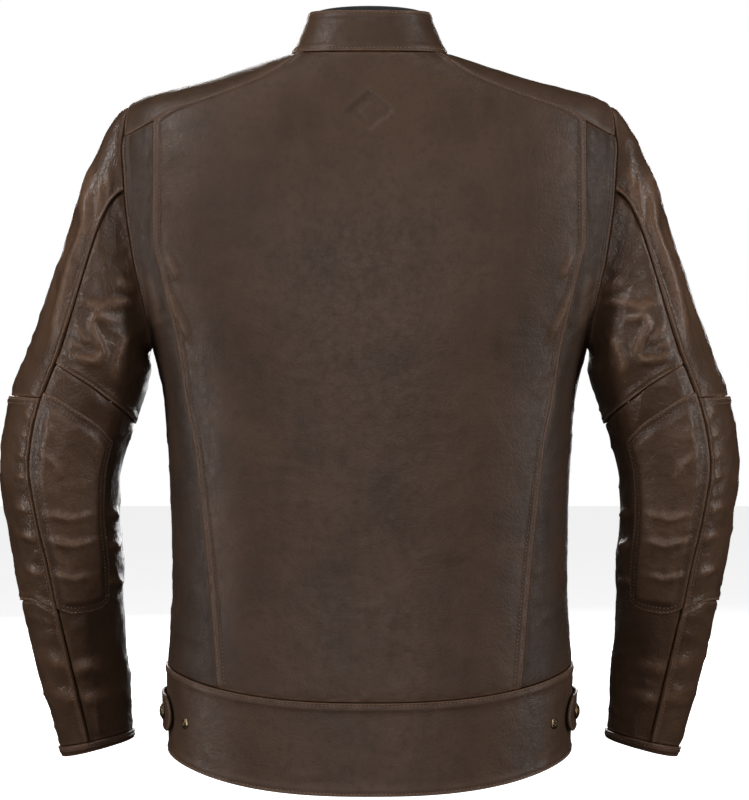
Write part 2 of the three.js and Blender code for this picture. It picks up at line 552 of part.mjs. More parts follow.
// Main zip: two tapes with their chains behind the front edges, a slider and its puller.
const zipTop = new THREE.Vector3(0, frontY(0), frontZ(0));
const zipFoot = new THREE.Vector3(0, frontY(BACK_LENGTH), frontZ(BACK_LENGTH));
const zipUp = zipTop.clone().sub(zipFoot).normalize();
const zipOut = new THREE.Vector3(0, -zipUp.z, zipUp.y);
const ZIP_MARGIN = 4;
const TAPE = { edge: 13, depth: LEATHER + 1, thickness: 1 };
const CHAIN = { gap: 0.25, depth: 0.7 };
for (const [tag, sign] of SIDES) {
  const section = new THREE.Shape([
    [CHAIN.gap, -CHAIN.depth], [CHAIN_HALF_WIDTH, -CHAIN.depth], [CHAIN_HALF_WIDTH, -TAPE.depth],
    [TAPE.edge, -TAPE.depth], [TAPE.edge, -TAPE.depth - TAPE.thickness],
    [CHAIN.gap, -TAPE.depth - TAPE.thickness],
  ].map(([x, y]) => new THREE.Vector2(-sign * x, y)));
  const length = zipTop.distanceTo(zipFoot) - 2 * ZIP_MARGIN;
  const tape = piece(`main_zip_tape_${tag}`, new THREE.ExtrudeGeometry(section,
    { depth: length, bevelEnabled: false }), COLOURS.tape, 0.7);
  const across = zipOut.clone().cross(zipUp);
  tape.applyMatrix4(new THREE.Matrix4().makeBasis(across, zipOut, zipUp)
    .setPosition(zipFoot.clone().addScaledVector(zipUp, ZIP_MARGIN)));
}
const mainSlider = zipFrame(zipTop.clone().addScaledVector(zipUp, -20), zipUp, zipOut);
piece('main_zip_slider', sliderGeometry(SLIDER), COLOURS.brass, 0.4, 0.9, mainSlider)
  .position.z = LAY - CHAIN.depth;
piece('main_zip_puller', pullerGeometry(PULLER), COLOURS.brass, 0.4, 0.9, mainSlider)
  .position.set(0, eyeRise(SLIDER, PULLER), 2 * LAY - CHAIN.depth + SLIDER.height);

// Hand pockets, waist tabs and their snaps.
const POCKET_HALF = 7;
const POCKET_TAPE = 1.6;
const BAG = { front: 14, back: 62, above: 8, below: 25, gap: 1, thickness: 3 };
const pocketEdge = (offset) => (v) => angleAt(POCKET.x + offset, v, true);
const onPocket = (v, lift) => sunkBody(pocketEdge(0)(v), v, -lift);
const tabLift = profile([[0, TAB.lift], [96, TAB.lift], [TAB.sewn, LAY]]);
const MM_PER_DEGREE = 2.3;
for (const [tag, sign] of SIDES) {
  const [top, foot] = [POCKET.top * LONG, POCKET.bottom * LONG];
  const zipShape = [pocketEdge(POCKET_HALF), pocketEdge(-POCKET_HALF), flat(top), flat(foot)];
  bodyPanel(`pocket_zip_${tag}`, sign, zipShape, 2, even(5), -LAY - POCKET_TAPE, -LAY, COLOURS.tape, 0.7);
  const bagShape = [pocketEdge(BAG.front), pocketEdge(-BAG.back),
    flat(top - BAG.above), flat(foot + BAG.below)];
  bodyPanel(`pocket_bag_${tag}`, sign, bagShape, 7, even(6), LEATHER + BAG.gap,
    LEATHER + BAG.gap + BAG.thickness, COLOURS.lining, 0.9);

  const side = ([x, y, z]) => new THREE.Vector3(sign * x, y, z);
  const high = side(onPocket(top + 14, LAY * 2 + POCKET_TAPE).toArray());
  const low = side(onPocket(foot - 14, LAY * 2 + POCKET_TAPE).toArray());
  const normal = side(normalOf(body, pocketEdge(0)(top + 60), top + 60).toArray());
  const frame = zipFrame(high, high.clone().sub(low).normalize(), normal);
  piece(`pocket_slider_${tag}`, sliderGeometry(POCKET_SLIDER), COLOURS.brass, 0.4, 0.9, frame)
    .position.z = 0.2;
  piece(`pocket_puller_${tag}`, pullerGeometry(POCKET_PULLER), COLOURS.brass, 0.4, 0.9, frame)
    .position.set(0, eyeRise(POCKET_SLIDER, POCKET_PULLER), 0.2 + LAY + POCKET_SLIDER.height);

  const tabV = TAB.v * LONG;
  const half = TAB.height / 2;
  const roundedEnd = (v) => TAB.end
    + (half - Math.sqrt(Math.max(0, half ** 2 - (v - tabV) ** 2))) / MM_PER_DEGREE;
  const inside = (phi) => -tabLift(phi);
  bodyPanel(`waist_tab_${tag}`, sign, [roundedEnd, flat(TAB.sewn), flat(tabV - half), flat(tabV + half)],
    7, even(6), (phi) => inside(phi) - TAB.thickness, inside);
  const onBand = (phi, lift) => [side(sunkBody(phi, tabV, -lift).toArray()),
    side(normalOf(body, phi, tabV).toArray())];
  stand(piece(`snap_stud_rear_${tag}`, stud(), COLOURS.brass, 0.4, 0.9), ...onBand(SNAP.spareAt, LAY));
  stand(piece(`snap_stud_front_${tag}`, stud(), COLOURS.brass, 0.4, 0.9), ...onBand(SNAP.capAt, LAY));
  stand(piece(`waist_snap_cap_${tag}`, cap(), COLOURS.brass, 0.4, 0.9),
    ...onBand(SNAP.capAt, TAB.lift + TAB.thickness + LAY));
}

export default jacket;
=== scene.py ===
"""The looks of a leather riding jacket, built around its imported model.

Sizes are millimetres in this script and metres in Blender. +Z is up, the front faces -Y and the
wearer's left is +X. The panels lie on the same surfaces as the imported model: the body's is named by
an angle phi and a ring v, the sleeve's by an angle psi and a drop w.
"""
import math

import bpy
import numpy as np
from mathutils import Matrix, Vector


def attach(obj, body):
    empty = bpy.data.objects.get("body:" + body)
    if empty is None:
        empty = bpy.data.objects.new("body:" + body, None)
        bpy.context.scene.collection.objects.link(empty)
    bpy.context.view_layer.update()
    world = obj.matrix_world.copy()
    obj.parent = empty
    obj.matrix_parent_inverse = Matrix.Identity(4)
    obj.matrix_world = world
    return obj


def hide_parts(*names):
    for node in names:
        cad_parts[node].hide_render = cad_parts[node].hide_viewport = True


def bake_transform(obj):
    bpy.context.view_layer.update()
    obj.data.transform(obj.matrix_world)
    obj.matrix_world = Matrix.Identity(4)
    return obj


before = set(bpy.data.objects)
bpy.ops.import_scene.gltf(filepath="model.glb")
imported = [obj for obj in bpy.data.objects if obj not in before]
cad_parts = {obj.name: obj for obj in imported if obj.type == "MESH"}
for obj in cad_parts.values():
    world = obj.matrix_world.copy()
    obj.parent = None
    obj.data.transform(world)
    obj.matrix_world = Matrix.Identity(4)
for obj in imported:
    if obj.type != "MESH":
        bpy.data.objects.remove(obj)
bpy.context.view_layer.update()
MM = 0.001
SIDES = (("l", 1), ("r", -1))

# ------------------------------------------------------------------ sizes, in millimetres
BACK_LENGTH = 689
LEATHER = 2.4
SEAM = 0.25          # half of the gap between two panels
BAND_SEAM = 603
COLLAR_HEIGHT = 38
ZIP_GAP = 8
SQUARENESS = 2.5
HEAD = 100
CUFF_SEAM = 362
SLEEVE_DROP = 372
SIDE_SEAM = 101
BAND_SPLIT = 90
YOKE_FOOT = 72
YOKE_END = 86
TAB = {"height": 35, "thickness": 2.4, "lift": 2.4, "end": 66, "sewn": 112, "v": 648}
CAP_AT = 76
SPARE_AT = 57.5


# ------------------------------------------------------------------ curves and surfaces
def profile(rows):
    """A smooth curve through (key, value) rows, level where the values turn."""
    keys = np.array([r[0] for r in rows], float)
    values = np.array([r[1] for r in rows], float)
    step = np.diff(values) / np.diff(keys)
    slope = np.empty(len(rows))
    slope[0], slope[-1] = step[0], step[-1]
    for i in range(1, len(rows) - 1):
        before, after = step[i - 1], step[i]
        slope[i] = 0 if before * after <= 0 else 2 * before * after / (before + after)

    def at(key):
        k = np.clip(np.asarray(key, float), keys[0], keys[-1])
        i = np.clip(np.searchsorted(keys, k, side="right") - 1, 0, len(keys) - 2)
        h = keys[i + 1] - keys[i]
        t = (k - keys[i]) / h
        rise = t * t * (3 - 2 * t)
        return (
            values[i] * (1 - rise) + values[i + 1] * rise
            + h * slope[i] * t * (1 - t) ** 2 + h * slope[i + 1] * t * t * (t - 1)
        )

    return at


def mix(a, b, t):
    return a + (b - a) * t


def smooth(low, high, x):
    t = np.clip((x - low) / (high - low), 0, 1)
    return t * t * (3 - 2 * t)


side_x = profile([(0, 73), (25, 145), (60, 224), (80, 236), (100, 243), (134, 245), (188, 238),
                  (226, 226), (254, 214), (275, 207), (324, 196), (362, 193), (438, 189.5),
                  (515, 188.5), (572, 191), (610, 194), (689, 192)])
side_z = profile([(0, 3), (25, -20), (60, -44), (80, -68), (100, -93), (134, -131), (188, -187),
                  (254, -254), (324, -323), (438, -432), (515, -499), (603, -574), (689, -657)])
side_y = profile([(0, -60), (60, -62), (160, -72), (285, -80), (400, -86), (689, -92)])
back_y = profile([(0, 0), (30, 9), (60, 16), (100, 24), (160, 30), (235, 30), (300, 27), (400, 21),
                  (500, 17), (603, 19), (689, 22)])
front_z = profile([(0, -85), (60, -122), (100, -150), (160, -190), (235, -246), (324, -323),
                   (438, -432), (515, -499), (603, -574), (689, -657)])
FRONT_TOP = (-138, -85)
FRONT_SLOPE = 0.147


def front_y(v):
    return FRONT_TOP[0] + (front_z(v) - FRONT_TOP[1]) * FRONT_SLOPE


def reach(phi):
    s, c = np.abs(np.sin(np.radians(phi))), np.abs(np.cos(np.radians(phi)))
    return (s ** SQUARENESS + c ** SQUARENESS) ** (-1 / SQUARENESS)


def body(phi, v):
    """Points of the body's outer surface: phi is 0 at the back, 90 at the side, 180 in front."""
    s, c = np.sin(np.radians(phi)), np.cos(np.radians(phi))
    along = np.abs(c * reach(phi))
    y = np.where(c >= 0, back_y(v), front_y(v))
    z = np.where(c >= 0, -np.asarray(v, float), front_z(v))
    return np.stack([side_x(v) * s * reach(phi), mix(side_y(v), y, along),
                     mix(side_z(v), z, along ** 2)], -1)


def angle_at(x, v, front=False):
    ratio = np.minimum(0.9999, x / side_x(v))
    phi = np.degrees(np.arctan2(1, (ratio ** -SQUARENESS - 1) ** (1 / SQUARENESS)))
    return 180 - phi if front else phi


ARMHOLE = {"phi": 92, "v": 168, "wide": 30, "tall": 107, "n": 2.6}
ARM_FOOT = ARMHOLE["v"] + ARMHOLE["tall"]


def oval_rest(part):
    n = ARMHOLE["n"]
    return np.maximum(0, 1 - np.abs(part) ** n) ** (1 / n)


def armhole_reach(v):
    return oval_rest((v - ARMHOLE["v"]) / ARMHOLE["tall"]) * ARMHOLE["wide"]


def armhole_rise(phi):
    return oval_rest((phi - ARMHOLE["phi"]) / ARMHOLE["wide"]) * ARMHOLE["tall"]


def armhole(theta):
    s, c = np.sin(np.radians(theta)), np.cos(np.radians(theta))
    n = ARMHOLE["n"]
    out = (np.abs(s) ** n + np.abs(c) ** n) ** (-1 / n)
    return ARMHOLE["phi"] + ARMHOLE["wide"] * s * out, ARMHOLE["v"] - ARMHOLE["tall"] * c * out


PLEAT_X = 201
yoke_back_x = profile([(0, 65), (20, 92), (48, 151), (62, 184), (72, PLEAT_X), (86, 231)])
yoke_front_x = profile([(0, 62), (20, 84), (48, 138), (72, 190), (86, 226)])
princess_x = profile([(72, PLEAT_X), (100, PLEAT_X), (174, PLEAT_X), (204, 194), (230, 188),
                      (280, 177), (324, 171), (365, 163), (418, 157), (488, 150), (603, 141)])


def yoke_seam(v):
    return angle_at(yoke_back_x(v), v)


def yoke_front_seam(v):
    return angle_at(yoke_front_x(v), v, True)


def back_edge(v):
    return np.where(v < YOKE_FOOT, yoke_seam(v), angle_at(princess_x(v), v))


def front_to(v):
    return angle_at(ZIP_GAP, v, True)


def front_from(v):
    hole = np.maximum(SIDE_SEAM, ARMHOLE["phi"] + armhole_reach(v))
    return np.where(v < YOKE_END, yoke_front_seam(v), np.where(v < ARM_FOOT, hole, SIDE_SEAM))


def gusset_top(phi):
    rings = np.linspace(YOKE_FOOT, YOKE_END, 60)
    return np.interp(phi, yoke_seam(rings), rings)


def yoke_foot(phi):
    return np.maximum(ARMHOLE["v"] - armhole_rise(phi), 0)


BICEP = (269.4, -292)
arm_shift = profile([(0, 0), (32, 11.6), (70, 21.6), (108, 27), (146, 25.6), (185, 21.6),
                     (225, 18.6), (305, 7.6), (344, 1.6), (372, -3)])
arm_half_width = profile([(0, 60.7), (32, 62.5), (70, 60.5), (108, 57.4), (146, 54.4), (185, 53),
                          (225, 49), (265, 46.5), (305, 43), (344, 37.8), (372, 35.5)])
arm_half_depth = profile([(0, 74), (108, 63), (185, 57), (265, 50), (372, 42)])
arm_y = profile([(0, -85), (108, -95), (208, -115), (308, -140), (372, -155)])
arm_tilt = profile([(0, 7), (108, 0), (250, 0), (372, -9)])
HEAD_OUT = {"seam": 34, "low": 8, "bicep": 75, "foot": 10}
back_seam = profile([(-100, -71), (0, -67), (75, -65), (125, -69), (208, -77), (350, -86)])
FRONT_SEAM = 120


def arm_ring(psi, w):
    c, s = np.cos(np.radians(psi)), np.sin(np.radians(psi))
    return np.stack([BICEP[0] + arm_shift(w) + arm_half_width(w) * c,
                     arm_y(w) - arm_half_depth(w) * s,
                     BICEP[1] - w + arm_tilt(w) * c], -1)


def sleeve(psi, w):
    """Points of the left sleeve's outer surface: psi is 0 outwards, 90 front, 270 back."""
    psi, w = np.broadcast_arrays(np.asarray(psi, float), np.asarray(w, float))
    u = np.minimum(1 + w / HEAD, 1)[..., None]
    high = ((1 + np.cos(np.radians(psi))) / 2)[..., None]
    start = body(*armhole(psi))
    end = arm_ring(psi, 0 * w)
    leave = start + mix(HEAD_OUT["low"], HEAD_OUT["seam"], high) * [1, 0, 0] + [0, 0, -4]
    run = arm_ring(psi, 0 * w + 12) - end
    run /= np.linalg.norm(run, axis=-1, keepdims=True)
    arrive = end - run * mix(HEAD_OUT["foot"], HEAD_OUT["bicep"], high)
    head = (start * (1 - u) ** 3 + leave * 3 * u * (1 - u) ** 2
            + arrive * 3 * u * u * (1 - u) + end * u ** 3)
    return np.where((w >= 0)[..., None], arm_ring(psi, np.maximum(w, 0)), head)


COLLAR_TOP = {"x": 56.5, "side": -58, "back": -5, "front": -123}
COLLAR_END = 173


def collar(phi, h):
    """Points of the stand collar's outer face: h is 0 at the neck seam and 1 at the top."""
    s, c = np.sin(np.radians(phi)), np.cos(np.radians(phi))
    far = np.where(c >= 0, COLLAR_TOP["back"], COLLAR_TOP["front"])
    low = body(phi, 0 * h)
    high = np.stack([COLLAR_TOP["x"] * s * reach(phi),
                     mix(COLLAR_TOP["side"], far, np.abs(c * reach(phi))),
                     low[..., 2] + COLLAR_HEIGHT], -1)
    return low + (high - low) * np.asarray(h, float)[..., None]


def normals(surface, a, b, step=0.4):
    da = surface(a + step, b) - surface(a - step, b)
    db = surface(a, b + step * 0.1) - surface(a, b - step * 0.1)
    n = np.cross(da, db)
    return n / np.linalg.norm(n, axis=-1, keepdims=True)


# ------------------------------------------------------------------ relief: noise, folds and seams
LATTICE = 32
NOISE_SHIFT = 900  # moves the two sides apart in the noise, so that they are not mirror images


def value_noise(p, size, seed):
    """Smooth noise from -1 to 1 over points, with features of about size millimetres."""
    table = np.random.default_rng(seed).random((LATTICE,) * 3) * 2 - 1
    q = p / size
    cell = np.floor(q).astype(int)
    f = q - cell
    f = f * f * (3 - 2 * f)
    total = 0
    for corner in np.ndindex(2, 2, 2):
        weight = 1
        for axis in range(3):
            weight = weight * (f[..., axis] if corner[axis] else 1 - f[..., axis])
        i, j, k = ((cell[..., axis] + corner[axis]) % LATTICE for axis in range(3))
        total = total + weight * table[i, j, k]
    return total


def ridged(p, size, seed):
    """Sharp-crested noise from 0 to 1, for creased leather."""
    return (1 - np.abs(value_noise(p, size, seed))) ** 4


FOLD_RISE = 2.0
EYE = (2620, -330)  # how far behind the origin, and how high, the folds' drawing is seen from
DRAWN_AT = 2600


def seen(p):
    """Where a point lies in the back view's drawing: distance from the centre line, and height."""
    k = (EYE[0] - p[..., 1]) / DRAWN_AT
    return np.abs(p[..., 0]) / k, EYE[1] + (p[..., 2] - EYE[1]) / k


def line_relief(p, route, height, width):
    """A soft ridge, or a valley where height is negative, along a route drawn in the back view."""
    x, z = seen(p)
    route = np.array(route, float)
    lengths = np.linalg.norm(np.diff(route, axis=0), axis=1)
    run = np.concatenate([[0], np.cumsum(lengths)])
    best = np.full(x.shape, 1e9)
    place = np.zeros(x.shape)
    for i, length in enumerate(lengths):
        (ax, az), (bx, bz) = route[i], route[i + 1]
        t = np.clip(((x - ax) * (bx - ax) + (z - az) * (bz - az)) / length ** 2, 0, 1)
        d = np.hypot(x - ax - t * (bx - ax), z - az - t * (bz - az))
        near = d < best
        best = np.where(near, d, best)
        place = np.where(near, run[i] + t * length, place)
    share = place / run[-1]
    taper = smooth(0, 0.25, share) * (1 - smooth(0.75, 1, share))
    return height * FOLD_RISE * np.exp(-(best / width) ** 2) * (0.25 + 0.75 * taper)


# Folds of the sleeve, as (route in the back view, height, width).
SLEEVE_FOLDS = [
    ([(258, -112), (261, -164), (275, -199), (287, -241), (292, -268)], 3.0, 5.0),
    ([(268, -150), (283, -205), (296, -260)], -1.2, 9.0),
    ([(246, -115), (248, -139), (250, -162), (254, -188)], 1.5, 3.2),
    ([(239, -112), (241, -140), (244, -160)], 1.2, 2.6),
    ([(264, -234), (248, -239), (228, -234), (213, -234)], 1.8, 3.6),
    ([(228, -252), (252, -247), (256, -255), (250, -269), (245, -281), (252, -288), (270, -285),
      (278, -278)], 2.2, 3.4),
    ([(270, -257), (263, -267), (257, -271)], 1.6, 2.6),
    ([(277, -271), (264, -276)], 1.4, 2.4),
    ([(222, -262), (232, -285), (236, -305)], 1.3, 5.0),
    ([(232, -212), (222, -221), (212, -222)], 1.4, 4.0),
    ([(317, -330), (309, -345), (312, -352)], 1.3, 3.0),
    ([(321, -352), (311, -362)], 1.2, 2.6),
    ([(324, -372), (312, -380)], 1.3, 2.8),
    ([(325, -392), (314, -397), (310, -406)], 1.4, 3.0),
    ([(326, -420), (312, -427)], 1.2, 3.2),
    ([(322, -447), (304, -452)], 1.4, 3.4),
    ([(318, -478), (300, -486)], 1.2, 3.2),
    ([(240, -425), (229, -432)], 1.4, 3.6),
    ([(241, -455), (228, -460)], 1.5, 3.6),
    ([(242, -490), (227, -492)], 1.3, 3.6),
    ([(300, -560), (272, -572), (240, -566)], 1.2, 6.0),
    ([(296, -592), (262, -600), (232, -592)], 1.0, 6.0),
]
PATCH_FOLDS = [
    ([(296, -428), (276, -433), (256, -428)], 1.3, 3.2),
    ([(295, -452), (272, -457), (254, -452)], 1.5, 3.2),
    ([(291, -484), (270, -488), (256, -483)], 1.2, 3.2),
    ([(301, -372), (288, -384), (282, -400)], 1.0, 3.4),
    ([(298, -345), (292, -352), (296, -362)], 0.9, 2.6),
]
BODY_FOLDS = [
    ([(187, -190), (181, -202), (176, -213)], 1.2, 3.0),
    ([(186, -222), (176, -245), (165, -270)], 1.3, 3.4),
    ([(204, -205), (196, -236), (192, -262)], 1.0, 6.0),
]


def seam_relief(d, style, along, seed):
    """Relief beside a seam: its rolled edge, the ridge over its allowance and puckers."""
    if style is None:
        return 0 * d
    roll = 1.1 * (1 - np.sqrt(1 - (1 - np.clip(d / 1.1, 0, 1)) ** 2))
    line = np.stack([along, 0 * along, 0 * along + seed * 7.3], -1)
    pucker = value_noise(line, 7.5, seed) * np.exp(-d / 7) * smooth(1, 4, d)
    if style == "over":
        ridge = 1.25 * (1 - smooth(5.2, 8.5, d))
        dent = 0.8 * np.exp(-((d - 2.4) / 0.9) ** 2)
        return ridge - roll - dent + 0.95 * pucker
    if style == "piped":
        ridge = 2.3 * np.exp(-((d - 2.0) / 1.8) ** 2)
        dent = 0.9 * np.exp(-((d - 5.6) / 1.2) ** 2)
        return ridge - roll - dent + 1.1 * pucker * smooth(3.5, 7, d)
    if style == "under":
        return -1.2 * np.exp(-d / 2.6) - 0.6 * roll + 1.0 * pucker
    return -roll


# ------------------------------------------------------------------ panels
BORDER = (0, 0.35, 0.9, 1.7, 2.8, 4.4)


def shares(length, pitch):
    """Places along an edge, from 0 to 1, closer together near both ends."""
    border = np.array(BORDER)
    count = max(2, int(round((length - 2 * border[-1]) / pitch)))
    middle = np.linspace(border[-1], length - border[-1], count + 1)[1:-1]
    return np.concatenate([border, middle, length - border[::-1]]) / length


def body_grid(start, end, top, foot, width, height, pitch):
    """Angles and rings of a body panel's points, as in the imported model."""
    across, down = shares(width, pitch), shares(height, pitch)

    def phi_at(v):
        gap = np.degrees(SEAM / (0.8 * side_x(v)))
        return mix(start(v) + gap, end(v) - gap, across)

    def crossing(edge):
        low, high = np.zeros(len(across)), np.full(len(across), BACK_LENGTH + 1.0)
        for _ in range(40):
            middle = (low + high) / 2
            above = middle < edge(phi_at(middle))
            low, high = np.where(above, middle, low), np.where(above, high, middle)
        return (low + high) / 2

    first, last = crossing(top) + SEAM, crossing(foot) - SEAM
    v = mix(first, last, down[:, None])
    return phi_at(v), v


def flat(value):
    return lambda key: value + 0 * np.asarray(key, float)


def add_mesh(name, points, faces, attributes=None):
    """A mesh object from points in millimetres, with float attributes."""
    mesh = bpy.data.meshes.new(name)
    mesh.from_pydata((np.asarray(points) * MM).tolist(), [], faces)
    mesh.update()
    mesh.shade_smooth()
    for key, values in (attributes or {}).items():
        layer = mesh.attributes.new(key, "FLOAT", "POINT")
        layer.data.foreach_set("value", np.asarray(values, np.float32).ravel())
    obj = bpy.data.objects.new(name, mesh)
    bpy.context.scene.collection.objects.link(obj)
    return obj


def quads(rows, cols, base, flip=False, wrap=False):
    """Faces of a grid of rows by cols points, the first of which is number base."""
    i, j = np.meshgrid(np.arange(rows - 1), np.arange(cols if wrap else cols - 1), indexing="ij")
    k = (j + 1) % cols
    a, b, c, d = i * cols + j, i * cols + k, (i + 1) * cols + k, (i + 1) * cols + j
    order = (a, d, c, b) if not flip else (a, b, c, d)
    return (np.stack([o.ravel() for o in order], -1) + base).tolist()


def shell_faces(rows, cols, flip=False, wrap=False):
    """Faces of a closed sheet: a grid of outer points, a like grid of inner points and the rim between."""
    count = rows * cols
    faces = quads(rows, cols, 0, flip, wrap) + quads(rows, cols, count, not flip, wrap)
    if wrap:
        first, last = list(range(cols)), [(rows - 1) * cols + j for j in range(cols)]
        return faces + rim_faces(first[::-1], count, flip) + rim_faces(last, count, flip)
    rim = [i * cols for i in range(rows)] + [(rows - 1) * cols + j for j in range(1, cols)]
    rim += [i * cols + cols - 1 for i in range(rows - 2, -1, -1)] + list(range(cols - 2, 0, -1))
    return faces + rim_faces(rim, count, flip)


def rim_faces(rim, count, flip):
    faces = [[p, p + count, q + count, q] for p, q in zip(rim, rim[1:] + rim[:1])]
    return [face[::-1] for face in faces] if flip else faces


class Panel:
    """One piece of leather or cloth over a surface, with its relief and its edges."""

    def __init__(self, name, surface, a, b, edges=(None,) * 4, sign=1, depth=0, thick=LEATHER,
                 folds=(), rough=0.35, seed=1, wrap=False, extra=None):
        self.name, self.sign, self.wrap = name, sign, wrap
        base = surface(a, b)
        depth = depth + 0 * base[..., 0]
        self.n = normals(surface, a, b)
        step = np.linalg.norm(np.diff(base, axis=1), axis=-1)
        drop = np.linalg.norm(np.diff(base, axis=0), axis=-1)
        zero_col, zero_row = np.zeros((len(a), 1)), np.zeros((1, a.shape[1]))
        left = np.concatenate([zero_col, np.cumsum(step, 1)], 1)
        top = np.concatenate([zero_row, np.cumsum(drop, 0)], 0)
        self.far = {"left": left, "right": left[:, -1:] - left, "top": top, "foot": top[-1:] - top}
        relief = 0 * left
        for side, style, along in zip(("left", "right", "top", "foot"), edges, (top, top, left, left)):
            seed_here = seed + len(side)
            relief = relief + seam_relief(self.far[side], style, along, seed_here)
        edge = np.minimum.reduce([self.far[s] for s, e in zip(self.far, edges) if e] or [left * 0 + 9])
        away = smooth(0, 10, edge)
        shifted = base + [0, 0, sign * NOISE_SHIFT]
        if rough:
            warp = value_noise(shifted, 34, seed + 3)[..., None] * [9, 0, 14]
            drawn = (shifted + 1.6 * warp) * [1, 1, 1.7]
            relief += rough * away * (0.8 * value_noise(shifted + warp, 30, 11)
                                      + 0.35 * value_noise(shifted + warp, 11, 12)
                                      + 1.25 * (ridged(drawn, 34, 13) - 0.35)
                                      + 0.55 * (ridged(drawn + warp, 15, 14) - 0.35))
        crest = np.zeros(left.shape)
        back = smooth(-0.05, 0.25, self.n[..., 1])
        for route, height, width in folds:
            crest += line_relief(base, route, height, width) * back * (0.3 + 0.7 * away)
        relief += crest
        if extra is not None:
            relief += extra(self, a, b)
        self.outer = base + self.n * (relief - depth)[..., None]
        self.inner = base - self.n * (depth + thick)[..., None]
        # Paler colour at seam edges, on folds and on raised relief: partly wear, partly a painted highlight
        # where light catches these ridges.
        bend = np.abs(crest) / 3 + np.exp(-((edge - 1.2) / 1.5) ** 2) * (edge < 8)
        self.wear_and_highlight = np.clip(bend + np.maximum(relief - 0.8, 0) * 0.35, 0, 1)
        if sign < 0:
            for grid in (self.outer, self.inner, self.n):
                grid[..., 0] *= -1

    def build(self, material):
        """The closed solid of the panel, as a Blender object."""
        points = np.concatenate([self.outer.reshape(-1, 3), self.inner.reshape(-1, 3)])
        faces = shell_faces(*self.wear_and_highlight.shape, self.sign < 0, self.wrap)
        wear_and_highlight = np.concatenate([self.wear_and_highlight.ravel(), 0 * self.wear_and_highlight.ravel()])
        obj = add_mesh(self.name, points, faces, {"wear_and_highlight": wear_and_highlight})
        obj.data.materials.append(material)
        return obj

    def line(self, side, distance, skip=(6, 6)):
        """Points and normals of a line at a distance from one edge, on the outer face."""
        far = self.far[side]
        grid, n = self.outer, self.n
        if side in ("top", "foot"):
            far, grid, n = far.T, grid.transpose(1, 0, 2), n.transpose(1, 0, 2)
        points, ups = [], []
        for f, row, up in zip(far, grid, n):
            order = np.argsort(f)
            if f.max() < distance:
                continue
            points.append([np.interp(distance, f[order], row[order, k]) for k in range(3)])
            ups.append([np.interp(distance, f[order], up[order, k]) for k in range(3)])
        points, ups = np.array(points), np.array(ups)
        run = np.concatenate([[0], np.cumsum(np.linalg.norm(np.diff(points, axis=0), axis=1))])
        keep = (run >= skip[0]) & (run <= run[-1] - skip[1])
        return points[keep], ups[keep]


# ------------------------------------------------------------------ materials
class Shader:
    """A material on the Principled shader, with its nodes linked as they are made."""

    def __init__(self, name, **uniform):
        self.material = bpy.data.materials.new(name)
        self.material.use_nodes = True
        self.nodes = self.material.node_tree.nodes
        self.links = self.material.node_tree.links
        self.main = self.nodes["Principled BSDF"]
        for socket, value in uniform.items():
            self.main.inputs[socket.replace("_", " ")].default_value = value
        self.place = self.node("ShaderNodeTexCoord").outputs["Object"]

    def node(self, kind, inputs=None, **settings):
        made = self.nodes.new(kind)
        for key, value in settings.items():
            setattr(made, key, value)
        for key, value in (inputs or {}).items():
            if isinstance(value, bpy.types.NodeSocket):
                self.links.new(value, made.inputs[key])
            else:
                made.inputs[key].default_value = value
        return made

    def noise(self, size, detail=2.0, rough=0.5, place=None):
        """Noise with features of about size millimetres."""
        return self.node("ShaderNodeTexNoise", {"Vector": place or self.place, "Scale": 1 / (size * MM),
                                                "Detail": detail, "Roughness": rough}).outputs["Fac"]

    def stretched(self, x, y, z):
        """The object's coordinates, drawn out along each axis."""
        return self.node("ShaderNodeMapping", {"Vector": self.place, "Scale": (x, y, z)}).outputs[0]

    def spread(self, value, low, high, start=0.0, end=1.0):
        """A value from low..high mapped to start..end."""
        return self.node("ShaderNodeMapRange", {"Value": value, "From Min": low, "From Max": high,
                                                "To Min": start, "To Max": end}).outputs["Result"]

    def blend(self, share, first, second):
        made = self.node("ShaderNodeMix", data_type="RGBA")
        for socket, value in zip((made.inputs[0], made.inputs[6], made.inputs[7]), (share, first, second)):
            if isinstance(value, bpy.types.NodeSocket):
                self.links.new(value, socket)
            elif isinstance(value, float):
                socket.default_value = value
            else:
                socket.default_value = (*value, 1)
        return made.outputs[2]

    def bump(self, height, strength, distance, under=None):
        inputs = {"Height": height, "Strength": strength, "Distance": distance * MM}
        if under is not None:
            inputs["Normal"] = under
        return self.node("ShaderNodeBump", inputs).outputs["Normal"]

    def wire(self, socket, value):
        self.links.new(value, self.main.inputs[socket])


def scaled(colour, share):
    return tuple(min(1.0, c * share) for c in colour)


SHINE = 0.3


